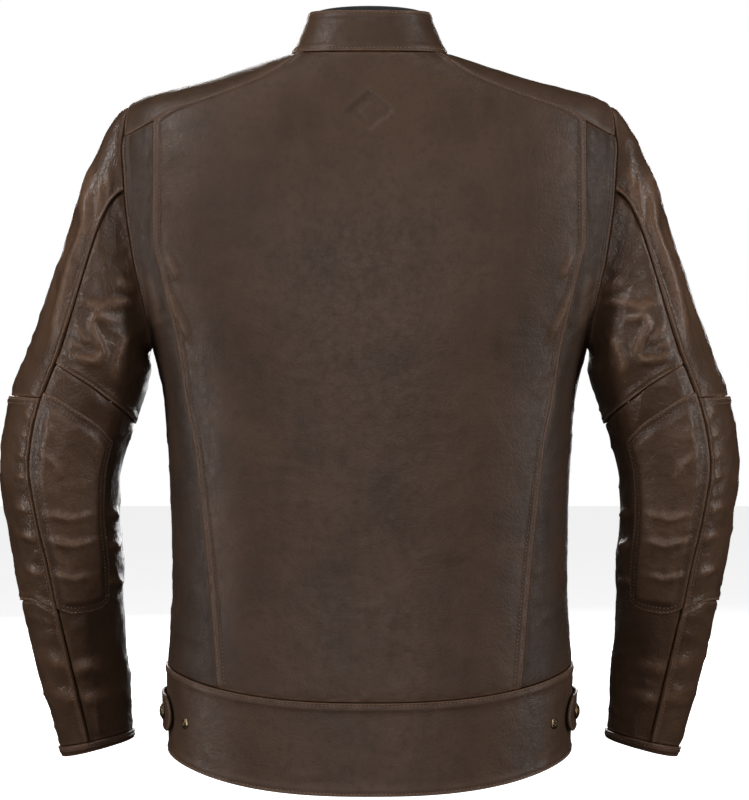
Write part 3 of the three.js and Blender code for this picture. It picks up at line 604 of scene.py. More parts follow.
def leather(name, tone, rough, crease):
    """Dark leather: mottled, grained, finely creased, and paler at its edges, folds and ridges, partly from
    wear and partly as a painted highlight.
    """
    s = Shader(name, Specular_IOR_Level=SHINE)
    clouds = s.noise(60, 3, 0.6)
    drawn = s.noise(26, 3, 0.6, s.stretched(1.6, 1.6, 0.35))
    patches = s.noise(7, 4, 0.62)
    fine = s.noise(1.6, 3, 0.6)
    base = s.blend(s.spread(clouds, 0.34, 0.66), scaled(tone, 0.78), scaled(tone, 1.2))
    base = s.blend(s.spread(drawn, 0.4, 0.75, 0, 0.5), base, scaled(tone, 1.32))
    base = s.blend(s.spread(patches, 0.5, 0.75, 0, 0.55), base, scaled(tone, 0.6))
    base = s.blend(s.spread(fine, 0.55, 0.8, 0, 0.4), base, scaled(tone, 1.7))
    # The leather pales towards 2.3 times its tone where this mark is high: rubbed wear together with a
    # painted highlight on folds and seam ridges.
    worn_and_lit = s.node("ShaderNodeAttribute", attribute_name="wear_and_highlight").outputs["Fac"]
    rubbed_and_lit = s.node("ShaderNodeMath", {0: worn_and_lit, 1: s.spread(patches, 0.3, 0.7, 0.25, 0.85)},
                    operation="MULTIPLY").outputs[0]
    s.wire("Base Color", s.blend(rubbed_and_lit, base, scaled(tone, 2.3)))
    s.wire("Roughness", s.spread(patches, 0.3, 0.7, rough - 0.07, rough + 0.09))
    cells = s.node("ShaderNodeTexVoronoi", {"Vector": s.place, "Scale": 1 / (1.5 * MM)},
                   feature="SMOOTH_F1").outputs["Distance"]
    wide_cells = s.node("ShaderNodeTexVoronoi", {"Vector": s.place, "Scale": 1 / (5.5 * MM)},
                        feature="DISTANCE_TO_EDGE").outputs["Distance"]
    creases = s.spread(wide_cells, 0.0, 0.12)
    normal = s.bump(cells, 0.35, 0.16)
    normal = s.bump(creases, crease, 0.3, normal)
    normal = s.bump(s.noise(3.2, 3, 0.6), 0.5, 0.35, normal)
    s.wire("Normal", normal)
    return s.material


def woven(name, tone, pitch, rough=0.9):
    """Plain-woven cloth or tape."""
    s = Shader(name, Sheen_Weight=0.25, Sheen_Roughness=0.5)
    waves = [s.node("ShaderNodeTexWave", {"Vector": s.place, "Scale": 0.314 / (pitch * MM), "Distortion": 0.6,
                                          "Detail": 1.0}, bands_direction=way).outputs["Fac"]
             for way in ("X", "Z")]
    threads = s.node("ShaderNodeMath", {0: waves[0], 1: waves[1]}, operation="MAXIMUM").outputs[0]
    shade = s.blend(s.spread(s.noise(25, 3), 0.35, 0.65), scaled(tone, 0.8), scaled(tone, 1.2))
    s.wire("Base Color", s.blend(s.spread(threads, 0.3, 1), scaled(tone, 0.5), shade))
    s.wire("Roughness", s.spread(s.noise(9), 0.3, 0.7, rough - 0.06, rough + 0.05))
    s.wire("Normal", s.bump(threads, 0.6, 0.2))
    return s.material


def metal(name, tone, dark, rough):
    """Cast metal with a patina in its hollows and a rubbed finish."""
    s = Shader(name, Metallic=1.0)
    stain = s.noise(3.5, 4, 0.65)
    scratch = s.noise(1.2, 3, 0.6, s.stretched(0.3, 1, 1))
    s.wire("Base Color", s.blend(s.spread(stain, 0.42, 0.62), dark, tone))
    s.wire("Roughness", s.spread(scratch, 0.3, 0.7, rough - 0.08, rough + 0.14))
    s.wire("Normal", s.bump(stain, 0.25, 0.12))
    return s.material


def foam(name, tone):
    """Closed-cell foam: fine pores and soft moulding marks."""
    s = Shader(name, Specular_IOR_Level=0.3)
    pores = s.node("ShaderNodeTexVoronoi", {"Vector": s.place, "Scale": 1 / (1.1 * MM)}).outputs["Distance"]
    s.wire("Base Color", s.blend(s.spread(s.noise(14, 3), 0.35, 0.65), scaled(tone, 0.8), scaled(tone, 1.15)))
    s.wire("Roughness", s.spread(s.noise(6), 0.3, 0.7, 0.78, 0.92))
    s.wire("Normal", s.bump(pores, 0.5, 0.25))
    return s.material


BROWN = (0.062, 0.034, 0.0205)
SHELL = leather("shell_leather", BROWN, 0.48, 0.3)
# The shell leather darkened to 0.64 of its tone: painted shade for the side panels with their pleat underlay,
# and for the laps behind seams.
SHADE_DARKENED_LEATHER = leather("pleat_leather", scaled(BROWN, 0.64), 0.54, 0.35)
ARM = leather("sleeve_leather", scaled(BROWN, 1.1), 0.36, 0.4)
PATCH = leather("patch_leather", scaled(BROWN, 1.02), 0.4, 0.4)
THREAD = woven("sewing_thread", scaled(BROWN, 2.7), 0.5, 0.7)
CLOTH = woven("lining_cloth", (0.011, 0.011, 0.012), 0.7)
TAPE = woven("zip_tape", (0.016, 0.013, 0.012), 0.6)
BRASS = metal("antique_brass", (0.33, 0.24, 0.14), (0.09, 0.062, 0.036), 0.38)
FOAM = foam("armour_foam", (0.045, 0.045, 0.05))


# ------------------------------------------------------------------ riding
JACKET = "jacket_body"


def place(obj, slot, bodies, nodes=(), start=None, end=None):
    """Hangs a piece from its body's empty when it rides on one body, only bakes its transform when it rides
    on several, and hides the imported parts it stands for; slot is not used.
    """
    if len(bodies) == 1:
        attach(obj, bodies[0])
    else:
        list(bodies)
        [c * MM for c in start]
        [c * MM for c in end]
        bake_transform(obj)
    if nodes:
        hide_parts(*nodes)
    return obj


def on_jacket(obj, slot, *nodes):
    return place(obj, slot, (JACKET,), nodes)


# ------------------------------------------------------------------ stitches
STITCH = {"pitch": 3.6, "length": 2.5, "radius": 0.46}


def stitches(name, lines):
    """Thread lying along lines on the leather, each stitch arched between its two holes."""
    points, faces = [], []
    rings = ((-0.5, 0.25, -0.42), (-0.3, 0.9, -0.02), (0, 1.0, 0.16), (0.3, 0.9, -0.02), (0.5, 0.25, -0.42))
    angles = np.arange(5) * 2 * math.pi / 5
    for line, ups in lines:
        run = np.concatenate([[0], np.cumsum(np.linalg.norm(np.diff(line, axis=0), axis=1))])
        for middle in np.arange(STITCH["pitch"] / 2, run[-1] - STITCH["pitch"] / 2, STITCH["pitch"]):
            ends = [middle - STITCH["length"] / 2, middle + STITCH["length"] / 2]
            a, b = ([np.interp(e, run, line[:, k]) for k in range(3)] for e in ends)
            up = np.array([np.interp(middle, run, ups[:, k]) for k in range(3)])
            centre = np.array([np.interp(middle, run, line[:, k]) for k in range(3)])
            along = np.subtract(b, a)
            across = np.cross(along / np.linalg.norm(along), up)
            base = len(points)
            for share, size, lift in rings:
                for angle in angles:
                    radius = STITCH["radius"] * size
                    points.append(centre + along * share + up * (lift + radius * math.sin(angle))
                                  + across * radius * math.cos(angle))
            faces += [[f + base for f in face] for face in STITCH_FACES]
    return add_mesh(name, np.array(points), faces)


STITCH_FACES = [[r * 5 + j, r * 5 + (j + 1) % 5, (r + 1) * 5 + (j + 1) % 5, (r + 1) * 5 + j]
                for r in range(4) for j in range(5)] + [[4, 3, 2, 1, 0], [20, 21, 22, 23, 24]]


def sewn(panel, name, rows, **riding):
    """The rows of thread along a panel's edges, each (side, distance) or (side, distance, skip)."""
    obj = stitches(name, [panel.line(*row) for row in rows])
    obj.data.materials.append(THREAD)
    return place(obj, **riding)


def piece(panel, material, nodes, rows, **riding):
    """A leather panel as a placed piece, with its rows of thread."""
    place(panel.build(material), nodes=nodes, **riding)
    sewn(panel, panel.name.replace("leather", "thread"), rows, **riding)


def jacket_piece(panel, material, slot, nodes, rows):
    piece(panel, material, nodes, rows, slot=slot, bodies=(JACKET,))


def body_panel(name, shape, size, pitch=3.6, **settings):
    """A panel over the body between two angles and two rings."""
    a, v = body_grid(*shape, *size, pitch)
    depth = settings.pop("depth", 0)
    if callable(depth):
        depth = depth(a, v)
    return Panel(name, body, a, v, depth=depth, **settings)


# ------------------------------------------------------------------ the body's leather
def lozenge(panel, a, b):
    """A generic embossed lozenge between the shoulders."""
    x, z = seen(body(a, b))
    d = x / LOZENGE["wide"] + np.abs(z - LOZENGE["z"]) / LOZENGE["tall"]
    sunk = -1.5 * (1 - smooth(0.9, 1.0, d))
    rim = 1.3 * np.exp(-((d - 1.1) / 0.11) ** 2)
    centre = 1.3 * (1 - smooth(0.38, 0.52, d))
    return sunk + rim + centre


LOZENGE = {"wide": 23, "tall": 19, "z": -58}


def side_end(v):
    return np.where(v < ARM_FOOT, ARMHOLE["phi"] - armhole_reach(v), SIDE_SEAM)


def make_back():
    shape = (lambda v: -back_edge(v), back_edge, flat(0), flat(BAND_SEAM))
    back = body_panel("leather_back", shape, (390, 600), 2.8, edges=("over", "over", "under", "under"),
                      folds=BODY_FOLDS, rough=0.26, seed=21, extra=lozenge)
    rows = [(side, d, skip) for side in ("left", "right")
            for d, skip in ((2.4, (4, 3)), (7.8, (178, 3)))]
    jacket_piece(back, SHELL, "shell_leather", ["back_panel"], rows)


def make_body_side(tag, sign):
    shape = (back_edge, side_end, gusset_top, flat(BAND_SEAM))
    side = body_panel(f"leather_side_{tag}", shape, (80, 510), 3.0, sign=sign, folds=BODY_FOLDS,
                      edges=("under", "over", "under", "under"), rough=0.6, seed=41)
    nodes = [f"side_panel_{tag}", f"back_pleat_strip_{tag}"]
    # The side panel, pleat underlay included, is in the darkened leather: painted shade behind the back
    # pleat.
    jacket_piece(side, SHADE_DARKENED_LEATHER, "pleat_leather", nodes, [("right", 2.4)])

    shape = (yoke_seam, yoke_front_seam, flat(0), yoke_foot)
    yoke = body_panel(f"leather_yoke_{tag}", shape, (180, 90), 3.0, sign=sign,
                      edges=("under", "over", "under", "over"), rough=0.4, seed=51)
    rows = [("right", 2.4), ("foot", 2.4)]
    jacket_piece(yoke, SHELL, "shell_leather", [f"shoulder_yoke_{tag}"], rows)

    shape = (front_from, front_to, flat(0), flat(BAND_SEAM))
    front = body_panel(f"leather_front_{tag}", shape, (190, 560), 3.2, sign=sign,
                       edges=("under", "over", "under", "under"), rough=0.45, seed=61)
    rows = [("right", 2.4), ("right", 8.0)]
    jacket_piece(front, SHELL, "shell_leather", [f"front_panel_{tag}"], rows)

    shape = (flat(BAND_SPLIT), front_to, flat(BAND_SEAM), flat(BACK_LENGTH))
    band = body_panel(f"leather_band_front_{tag}", shape, (240, 86), 3.2, sign=sign,
                      edges=("plain", "over", "over", "over"), rough=0.3, seed=71)
    rows = [("top", 2.4), ("foot", 2.4), ("right", 2.4)]
    jacket_piece(band, SHELL, "shell_leather", [f"waistband_front_{tag}"], rows)


def make_band():
    shape = (flat(-BAND_SPLIT), flat(BAND_SPLIT), flat(BAND_SEAM), flat(BACK_LENGTH))
    band = body_panel("leather_band_back", shape, (440, 86), 3.0, edges=("plain", "plain", "over", "over"),
                      rough=0.3, seed=81)
    jacket_piece(band, SHELL, "shell_leather", ["waistband_back"], [("top", 2.4), ("foot", 2.4)])
    for tag, sign in SIDES:
        shape = (flat(BAND_SPLIT - 3), flat(BAND_SPLIT + 3), flat(BAND_SEAM - 6), flat(BACK_LENGTH - 1))
        lap = body_panel(f"leather_band_seam_{tag}", shape, (26, 90), 6, sign=sign, depth=LEATHER + 0.1,
                         thick=0.7, rough=0, seed=82)
        # This lap behind the waistband's side seam is in the darkened leather: painted shade in the seam.
        on_jacket(lap.build(SHADE_DARKENED_LEATHER), "pleat_leather")


# ------------------------------------------------------------------ collar, lining and padding
COLLAR_LINING = {"depth": LEATHER + 0.35, "thick": 1.2, "rise": 5}


def collar_down(phi, drop):
    """The collar's outer face with drop running down from its top edge, as the panels' b does."""
    return collar(phi, 1 - drop)


def collar_panel(name, top, below, edges, depth, thick, rough, seed):
    phi = np.linspace(-COLLAR_END, COLLAR_END, 190)[None, :]
    levels = shares(COLLAR_HEIGHT, 2.2)[:, None]
    first = 1 - top(phi)
    drop = mix(first, 1 + below / COLLAR_HEIGHT, levels)
    phi = phi + 0 * drop
    return Panel(name, collar_down, phi, drop, edges=edges, depth=depth, thick=thick, rough=rough, seed=seed)


def lining_top(phi):
    rise = np.maximum(-0.3, 1 - (phi / 72) ** 2)
    return 1 + COLLAR_LINING["rise"] / COLLAR_HEIGHT * rise


def make_collar():
    shell = collar_panel("leather_collar", flat(1), 0.7, ("over",) * 4, 0, LEATHER, 0.3, 91)
    jacket_piece(shell, SHELL, "shell_leather", ["collar_shell"], [("top", 2.4), ("foot", 3.0)])
    lining = collar_panel("cloth_collar", lining_top, 4, (None, None, "plain", None), COLLAR_LINING["depth"],
                          COLLAR_LINING["thick"], 0.15, 92)
    on_jacket(lining.build(CLOTH), "lining_cloth", "collar_lining")


LINING = {"thick": 1.2, "seam": 92, "top": 5, "foot": BACK_LENGTH - 10, "facing": LEATHER + 3.2, "depth": 16,
          "hem": LEATHER + 0.9}
lining_rise = profile([(0, 0), (14, 1), (600, 1), (672, 0)])
facing_rise = profile([(0, 1), (150, 1), (166, 0), (180, 0)])
hem_fall = profile([(640, 0), (672, 1)])


def lining_depth(phi, v):
    free = mix(LINING["facing"], LINING["depth"], lining_rise(v) * facing_rise(np.abs(phi)))
    return mix(free, LINING["hem"], hem_fall(v))


def lining_back_edge(v):
    return LINING["seam"] - armhole_reach(v)


def lining_front_edge(v):
    return LINING["seam"] + armhole_reach(v)


def facing_edge(v):
    return angle_at(ZIP_GAP * 1.8, v, True)


def lining_panel(name, sign, start, end, width, node, seed):
    shape = (start, end, flat(LINING["top"]), flat(LINING["foot"]))
    panel = body_panel(name, shape, (width, 660), 6, sign=sign, depth=lining_depth, thick=LINING["thick"],
                       edges=(None,) * 4, rough=0.25, seed=seed)
    on_jacket(panel.build(CLOTH), "lining_cloth", node)


def pad(name, surface, a, b, depth, thick, sign):
    """A foam pad: crowned, ribbed, and thinner towards its edges."""
    panel = Panel(name, surface, a, b, sign=sign, depth=depth, thick=thick, rough=0.1, seed=7,
                  extra=pad_crown(thick))
    obj = panel.build(FOAM)
    return obj


def pad_crown(thick):
    def crown(panel, a, b):
        edge = np.minimum.reduce(list(panel.far.values()))
        groove = np.exp(-((np.mod(panel.far["top"], 26) - 13) / 1.8) ** 2)
        rim = 1 - smooth(0, 9, edge)
        return -0.45 * thick * rim - 0.16 * thick * groove * smooth(6, 16, edge)
    return crown


def make_lining_and_pads():
    lining_panel("cloth_lining_back", 1, lambda v: -lining_back_edge(v), lining_back_edge, 390,
                 "lining_back", 95)
    for tag, sign in SIDES:
        lining_panel(f"cloth_lining_front_{tag}", sign, lining_front_edge, facing_edge, 190,
                     f"lining_front_{tag}", 96)
        a, v = body_grid(flat(72), flat(114), flat(22), flat(54), 150, 46, 4)
        obj = pad(f"foam_shoulder_{tag}", body, a, v, LEATHER + 2, 7, sign)
        on_jacket(obj, "armour_foam", f"shoulder_armour_{tag}")
    a, v = body_grid(flat(-34), flat(34), flat(95), flat(430), 270, 335, 5)
    obj = pad("foam_back", body, a, v, LEATHER + 0.9, 9, 1)
    on_jacket(obj, "armour_foam", "back_protector")


# ------------------------------------------------------------------ sleeves
HEAD_TOP = -HEAD + 1.2
patch_top = profile([(209, 76), (222, 66), (236, 55), (260, 41), (279, 31), (296, 26)])
patch_foot = profile([(215, 221), (232, 232), (262, 236), (283, 230)])
under_seam = profile([(120, 50), (180, 52), (205, 44), (232, 31), (260, 15), (292, 1)])
wrap_foot = profile([(-80, 236), (-45, 224), (0, 226), (120, 235)])
PATCH_INNER = 217
SHOULDER = {"start": (238, -90, -238), "end": (281.5, -90, -281.5)}
ELBOW = {"start": (295, -98, -350), "end": (295, -98, -490)}


def round_seam(w):
    return 360 + back_seam(w)


ALLOWANCE = {"depth": LEATHER + 0.3, "thick": 0.8, "body": 1.045, "sleeve": -HEAD + 5}


def armhole_allowance(psi, share):
    """Points of the seam allowance inside the armhole: share is 0 on the body and 1 on the sleeve."""
    psi, share = np.broadcast_arrays(np.asarray(psi, float), np.asarray(share, float))
    phi, v = armhole(psi)
    out = ALLOWANCE["body"]
    wider = ARMHOLE["phi"] + (phi - ARMHOLE["phi"]) * out, ARMHOLE["v"] + (v - ARMHOLE["v"]) * out
    low = ALLOWANCE["sleeve"] + 0 * psi
    on_body, on_sleeve = normals(body, phi, v), normals(sleeve, psi, low)
    bend = 1 + np.sum(on_body * on_sleeve, -1, keepdims=True)
    start = body(*wider) - on_body * ALLOWANCE["depth"]
    middle = body(phi, v) - (on_body + on_sleeve) / bend * ALLOWANCE["depth"]
    end = sleeve(psi, low) - on_sleeve * ALLOWANCE["depth"]
    share = share[..., None]
    return np.where(share < 0.5, mix(start, middle, 2 * share), mix(middle, end, 2 * share - 1))


def make_allowance(tag, sign):
    psi = np.linspace(0, 360, 160, endpoint=False)[None, :]
    share = np.linspace(0, 1, 5)[:, None]
    ring = Panel(f"leather_armhole_seam_{tag}", armhole_allowance, psi + 0 * share, share + 0 * psi,
                 sign=sign, wrap=True, rough=0, thick=ALLOWANCE["thick"], seed=108)
    # The armhole's seam allowance is in the darkened leather: painted shade inside the seam.
    on_jacket(ring.build(SHADE_DARKENED_LEATHER), "pleat_leather")


def sleeve_panel(name, start, end, top, foot, width, height, pitch=2.9, **settings):
    """A panel over the sleeve: start and end are angles at a drop, top and foot drops at an angle."""
    across, down = shares(width, pitch)[None, :], shares(height, pitch)[:, None]
    w = mix(float(np.mean(top(start(0)))), float(np.mean(foot(start(0)))), down) + 0 * across
    for _ in range(25):
        gap = np.degrees(SEAM / arm_half_width(w))
        psi = mix(start(w) + gap, end(w) - gap, across)
        w = mix(top(psi) + SEAM, foot(psi) - SEAM, down)
    return Panel(name, sleeve, psi, w, **settings)


def make_sleeve(tag, sign):
    upper = {"bodies": (JACKET, f"sleeve_{tag}"), "slot": "sleeve_leather",
             "start": (sign * SHOULDER["start"][0], *SHOULDER["start"][1:]),
             "end": (sign * SHOULDER["end"][0], *SHOULDER["end"][1:])}
    lower = {"bodies": (f"sleeve_{tag}", f"forearm_{tag}"), "slot": "sleeve_leather",
             "start": (sign * ELBOW["start"][0], *ELBOW["start"][1:]),
             "end": (sign * ELBOW["end"][0], *ELBOW["end"][1:])}
    common = {"sign": sign, "folds": SLEEVE_FOLDS, "rough": 0.95}

    top_upper = sleeve_panel(f"leather_sleeve_top_{tag}", back_seam, flat(FRONT_SEAM), flat(HEAD_TOP),
                             flat(32), 210, 150, edges=("piped", "over", "under", "under"), seed=101,
                             **common)
    nodes = [f"upper_sleeve_top_{tag}", f"sleeve_head_{tag}"]
    piece(top_upper, ARM, nodes, [("left", 5.6), ("right", 2.4)], **upper)

    under_upper = sleeve_panel(f"leather_sleeve_under_{tag}", flat(FRONT_SEAM), round_seam, flat(HEAD_TOP),
                               under_seam, 210, 140, edges=("under", "under", "under", "over"), seed=102,
                               **common)
    piece(under_upper, ARM, [f"upper_sleeve_under_{tag}"], [("foot", 2.4, (8, 4))], **upper)

    wrap = sleeve_panel(f"leather_elbow_wrap_{tag}", back_seam, flat(FRONT_SEAM), flat(32), wrap_foot,
                        190, 195, edges=("piped", "over", "over", "over"), seed=103, **common)
    rows = [("top", 2.4), ("top", 6.8), ("foot", 2.4), ("left", 5.6)]
    piece(wrap, ARM, [f"elbow_wrap_{tag}"], rows, **lower)

    forearm = sleeve_panel(f"leather_forearm_top_{tag}", back_seam, flat(FRONT_SEAM), wrap_foot,
                           flat(CUFF_SEAM), 165, 130, edges=("piped", "over", "under", "under"), seed=104,
                           **common)
    piece(forearm, ARM, [f"forearm_top_{tag}"], [("left", 5.6), ("right", 2.4)], **lower)

    under_lower = sleeve_panel(f"leather_forearm_under_{tag}", flat(FRONT_SEAM), round_seam, under_seam,
                               flat(CUFF_SEAM), 185, 320, edges=("under", "under", "under", "under"),
                               seed=105, **common)
    place(under_lower.build(ARM), nodes=[f"forearm_under_{tag}"], **lower)

    patch = sleeve_panel(f"leather_elbow_patch_{tag}", flat(PATCH_INNER), round_seam, patch_top, patch_foot,
                         78, 190, 2.4, sign=sign, folds=PATCH_FOLDS, rough=0.6, seed=106, depth=-PATCH_RISE,
                         thick=PATCH_RISE - 0.3, edges=("plain",) * 4, extra=patch_crown)
    obj = patch.build(PATCH)
    place(obj, nodes=[f"elbow_patch_{tag}"], **lower)
    rows = [(side, d, (3, 3)) for side in ("left", "top", "foot") for d in PATCH_ROWS]
    sewn(patch, f"thread_elbow_patch_{tag}", rows, **lower)
    make_cuff(tag, sign)
    make_allowance(tag, sign)

    psi, w = np.meshgrid(mix(222, 284, shares(64, 4)), mix(85, 190, shares(105, 4)))
    armour = pad(f"foam_elbow_{tag}", sleeve, psi, w, LEATHER + 0.9, 7, sign)
    place(armour, nodes=[f"elbow_armour_{tag}"], **{**lower, "slot": "armour_foam"})


PATCH_RISE = 1.5
PATCH_ROWS = (2.2, 6.8)  # how far in from the patch's edge its two rows of thread lie


def patch_crown(panel, a, b):
    """The quilted middle of an elbow patch stands up inside its double-stitched border."""
    edge = np.minimum.reduce([panel.far[s] for s in ("left", "top", "foot", "right")])
    rows = sum(np.exp(-((panel.far["left"] - d) / 0.8) ** 2) for d in PATCH_ROWS)
    return 2.6 * smooth(PATCH_ROWS[1], 15, edge) - 0.5 * rows


def make_cuff(tag, sign):
    psi = np.linspace(0, 360, 130, endpoint=False)[None, :]
    w = mix(CUFF_SEAM + SEAM, SLEEVE_DROP - SEAM, shares(10, 3)[:, None])
    cuff = Panel(f"leather_cuff_{tag}", sleeve, psi + 0 * w, w + 0 * psi, sign=sign, wrap=True, rough=0.2,
                 edges=(None, None, "over", "plain"), seed=107)
    riding = {"slot": "sleeve_leather", "bodies": (f"forearm_{tag}",)}
    piece(cuff, ARM, [f"cuff_band_{tag}"], [("top", 2.4, (0, 0))], **riding)
    w = mix(CUFF_SEAM - 6, SLEEVE_DROP - 1, shares(16, 4)[:, None])
    hem = Panel(f"leather_cuff_hem_{tag}", sleeve, psi + 0 * w, w + 0 * psi, sign=sign, wrap=True, rough=0,
                depth=LEATHER + 0.15, thick=0.9, seed=109)
    place(hem.build(ARM), **riding)


# ------------------------------------------------------------------ hardware
LAY = 0.35
SLIDER = {"width": 11, "length": 14, "height": 3}
PULLER = {"width": 6, "length": 26, "height": 1.6}
POCKET_SLIDER = {"width": 7, "length": 10, "height": 2.2}
POCKET_PULLER = {"width": 5, "length": 18, "height": 1.4}
CHAIN_DEPTH = 0.7
ZIP_MARGIN = 4
TAPE_EDGE = 13
TAPE_DEPTH = LEATHER + 1
TOOTH_PITCH = 2.8
SLIDER_DROP = 20  # the closed slider's distance from the zip's top
POCKET = {"x": 118, "top": 420, "bottom": 560, "half": 7, "tape": 1.6, "inset": 14}
BAG = {"front": 14, "back": 62, "above": 8, "below": 25, "gap": 1, "thick": 3}


def unit(vector):
    return vector / np.linalg.norm(vector)


class Frame:
    """A place on the garment: x across, y up the zip, z out of it."""

    def __init__(self, origin, up, out):
        self.origin = np.asarray(origin, float)
        self.y = unit(np.asarray(up, float))
        self.x = unit(np.cross(self.y, out))
        self.z = np.cross(self.x, self.y)

    def __call__(self, points):
        p = np.asarray(points, float)
        return self.origin + p[..., :1] * self.x + p[..., 1:2] * self.y + p[..., 2:] * self.z

    def shifted(self, x, y, z):
        return Frame(self(np.array([x, y, z])), self.y, self.z)


def rounded(corners, radius, steps=4):
    """An outline through corners, each rounded with an arc."""
    points = []
    count = len(corners)
    for i, corner in enumerate(corners):
        c = np.array(corner, float)
        before, after = (unit(np.array(corners[k % count], float) - c) for k in (i - 1, i + 1))
        for t in np.linspace(0, 1, steps + 1):
            points.append(c + radius * (before * (1 - t) ** 2 + after * t ** 2))
    return points


def circle(x, y, radius, count=16):
    return [(x + radius * math.cos(a), y + radius * math.sin(a))
            for a in np.arange(count) * 2 * math.pi / count]


def plate(name, at, outlines, low, high, bevel):
    """A plate with a bevelled rim, from an outline and its holes, between two heights."""
    curve = bpy.data.curves.new(name, "CURVE")
    curve.dimensions = "2D"
    curve.fill_mode = "BOTH"
    curve.extrude = (high - low) / 2 - bevel
    curve.bevel_depth = bevel
    curve.bevel_resolution = 2
    curve.offset = -bevel
    for outline in outlines:
        spline = curve.splines.new("POLY")
        spline.points.add(len(outline) - 1)
        spline.use_cyclic_u = True
        for point, (x, y) in zip(spline.points, outline):
            point.co = (x, y, 0, 1)
    drawn = bpy.data.objects.new(name, curve)
    bpy.context.scene.collection.objects.link(drawn)
    shape = bpy.data.meshes.new_from_object(drawn.evaluated_get(bpy.context.evaluated_depsgraph_get()))
    bpy.data.objects.remove(drawn)
    local = np.array([v.co for v in shape.vertices]) + [0, 0, (low + high) / 2]
    obj = add_mesh(name, at(local), [list(p.vertices) for p in shape.polygons])
    bpy.data.meshes.remove(shape)
    crisp(obj)
    return obj


def crisp(obj, angle=35):
    """Keeps the sharp edges of a hard piece sharp."""
    obj.data.set_sharp_from_angle(angle=math.radians(angle))


def turned(name, at, rows, count=28):
    """A turned piece about its frame's z from (radius, height) rows."""
    angles = np.arange(count) * 2 * math.pi / count
    rings = [(r, h) for r, h in rows if r > 0]
    points = [(r * math.cos(a), r * math.sin(a), h) for r, h in rings for a in angles]
    faces = quads(len(rings), count, 0, True, True)
    faces.append(list(range(count))[::-1])
    faces.append([(len(rings) - 1) * count + j for j in range(count)])
    obj = add_mesh(name, at(np.array(points)), faces)
    crisp(obj)
    return obj


def tube(name, at, route, radius, closed=False, count=8):
    """A round bar along a route."""
    route = np.array(route, float)
    if closed:
        ahead, behind = np.roll(route, -1, 0), np.roll(route, 1, 0)
        along = ahead - behind
    else:
        along = np.gradient(route, axis=0)
    along /= np.linalg.norm(along, axis=1, keepdims=True)
    side = np.cross(along, [1, 0, 0])
    side /= np.linalg.norm(side, axis=1, keepdims=True)
    rise = np.cross(side, along)
    angles = np.arange(count) * 2 * math.pi / count
    rings = [p + radius * (math.cos(a) * s + math.sin(a) * r)
             for p, s, r in zip(route, side, rise) for a in angles]
    faces = quads(len(route), count, 0, True, True)
    if closed:
        last = (len(route) - 1) * count
        faces += [[last + j, last + (j + 1) % count, (j + 1) % count, j] for j in range(count)]
    else:
        faces += [list(range(count))[::-1], [(len(route) - 1) * count + j for j in range(count)]]
    return add_mesh(name, at(np.array(rings)), faces)


def joined(name, *objs):
    """Several meshes as one piece."""
    points, faces = [], []
    for obj in objs:
        base = len(points)
        points += [v.co / MM for v in obj.data.vertices]
        faces += [[base + i for i in p.vertices] for p in obj.data.polygons]
        bpy.data.objects.remove(obj)
    made = add_mesh(name, np.array(points), faces)
    crisp(made)
    return made


def make_slider(name, at, size):
    """A zip slider: a waisted body, its rounded crown and the bridge that holds the puller's eye."""
    w, length, h = size["width"], size["length"], size["height"]
    outline = rounded([(-w / 2, 0.3 * length), (-0.3 * w, length / 2), (0.3 * w, length / 2),
                       (w / 2, 0.3 * length), (0.32 * w, -length / 2), (-0.32 * w, -length / 2)], 1.2)
    base = plate(name + "_body", at, [outline], 0, h * 0.55, 0.35)
    smaller = [(x * 0.74, y * 0.8) for x, y in outline]
    crown = plate(name + "_crown", at, [smaller], h * 0.5, h * 0.86, 0.4)
    y = np.linspace(-0.3, 0.62, 14) * length
    arch = h * 0.62 + h * 0.3 * np.sin(np.linspace(0.1, 1, 14) * math.pi)
    bridge = tube(name + "_bridge", at, np.stack([0 * y, y, arch], -1), 0.11 * w)
    return joined(name, base, crown, bridge)


def make_puller(name, at, size):
    """A puller: an eye, a waisted shank and a rounded paddle with a window."""
    r, length, h = size["width"] / 2, size["length"], size["height"]
    end = -length + 2 * r
    top = [(r * math.cos(a), r * math.sin(a)) for a in np.linspace(0, math.pi, 13)]
    foot = [(r * math.cos(a), end + r * math.sin(a)) for a in np.linspace(math.pi, 2 * math.pi, 13)]
    left = [(-0.98 * r, -0.1 * length), (-0.52 * r, -0.27 * length), (-0.6 * r, 0.45 * end),
            (-0.95 * r, 0.72 * end)]
    outline = top + left + foot + [(-x, y) for x, y in reversed(left)]
    corners = [(x * r, y * end) for x, y in ((-0.4, 0.72), (0.4, 0.72), (0.4, 1), (-0.4, 1))]
    window = rounded(corners, 0.2 * r)
    return plate(name, at, [outline, circle(0, 0, 0.4 * r)[::-1], window[::-1]], 0, h, 0.3)


def make_teeth(name, at, length, offset, sign):
    """One side's teeth of a zip, up the frame's y."""
    points, faces = [], []
    tooth = [(0.0, -0.5), (0.55, -0.62), (2.4, -0.5), (2.4, 0.5), (0.55, 0.62), (0.0, 0.5)]
    for step in range(int(length / TOOTH_PITCH) - 1):
        y = ZIP_MARGIN / 2 + offset + step * TOOTH_PITCH
        base = len(points)
        for low in (True, False):
            inset = 1.0 if low else 0.82
            level = -CHAIN_DEPTH - 1.4 if low else -CHAIN_DEPTH + 0.25
            points += [(sign * (0.3 + x), y + t * inset * 1.5, level) for x, t in tooth]
        ring = list(range(6))
        faces += [[base + k for k in ring], [base + 6 + k for k in reversed(ring)]]
        faces += [[base + k, base + 6 + k, base + 6 + (k + 1) % 6, base + (k + 1) % 6] for k in ring]
    if sign < 0:
        faces = [f[::-1] for f in faces]
    obj = add_mesh(name, at(np.array(points)), faces)
    crisp(obj)
    obj.data.materials.append(BRASS)
    return obj


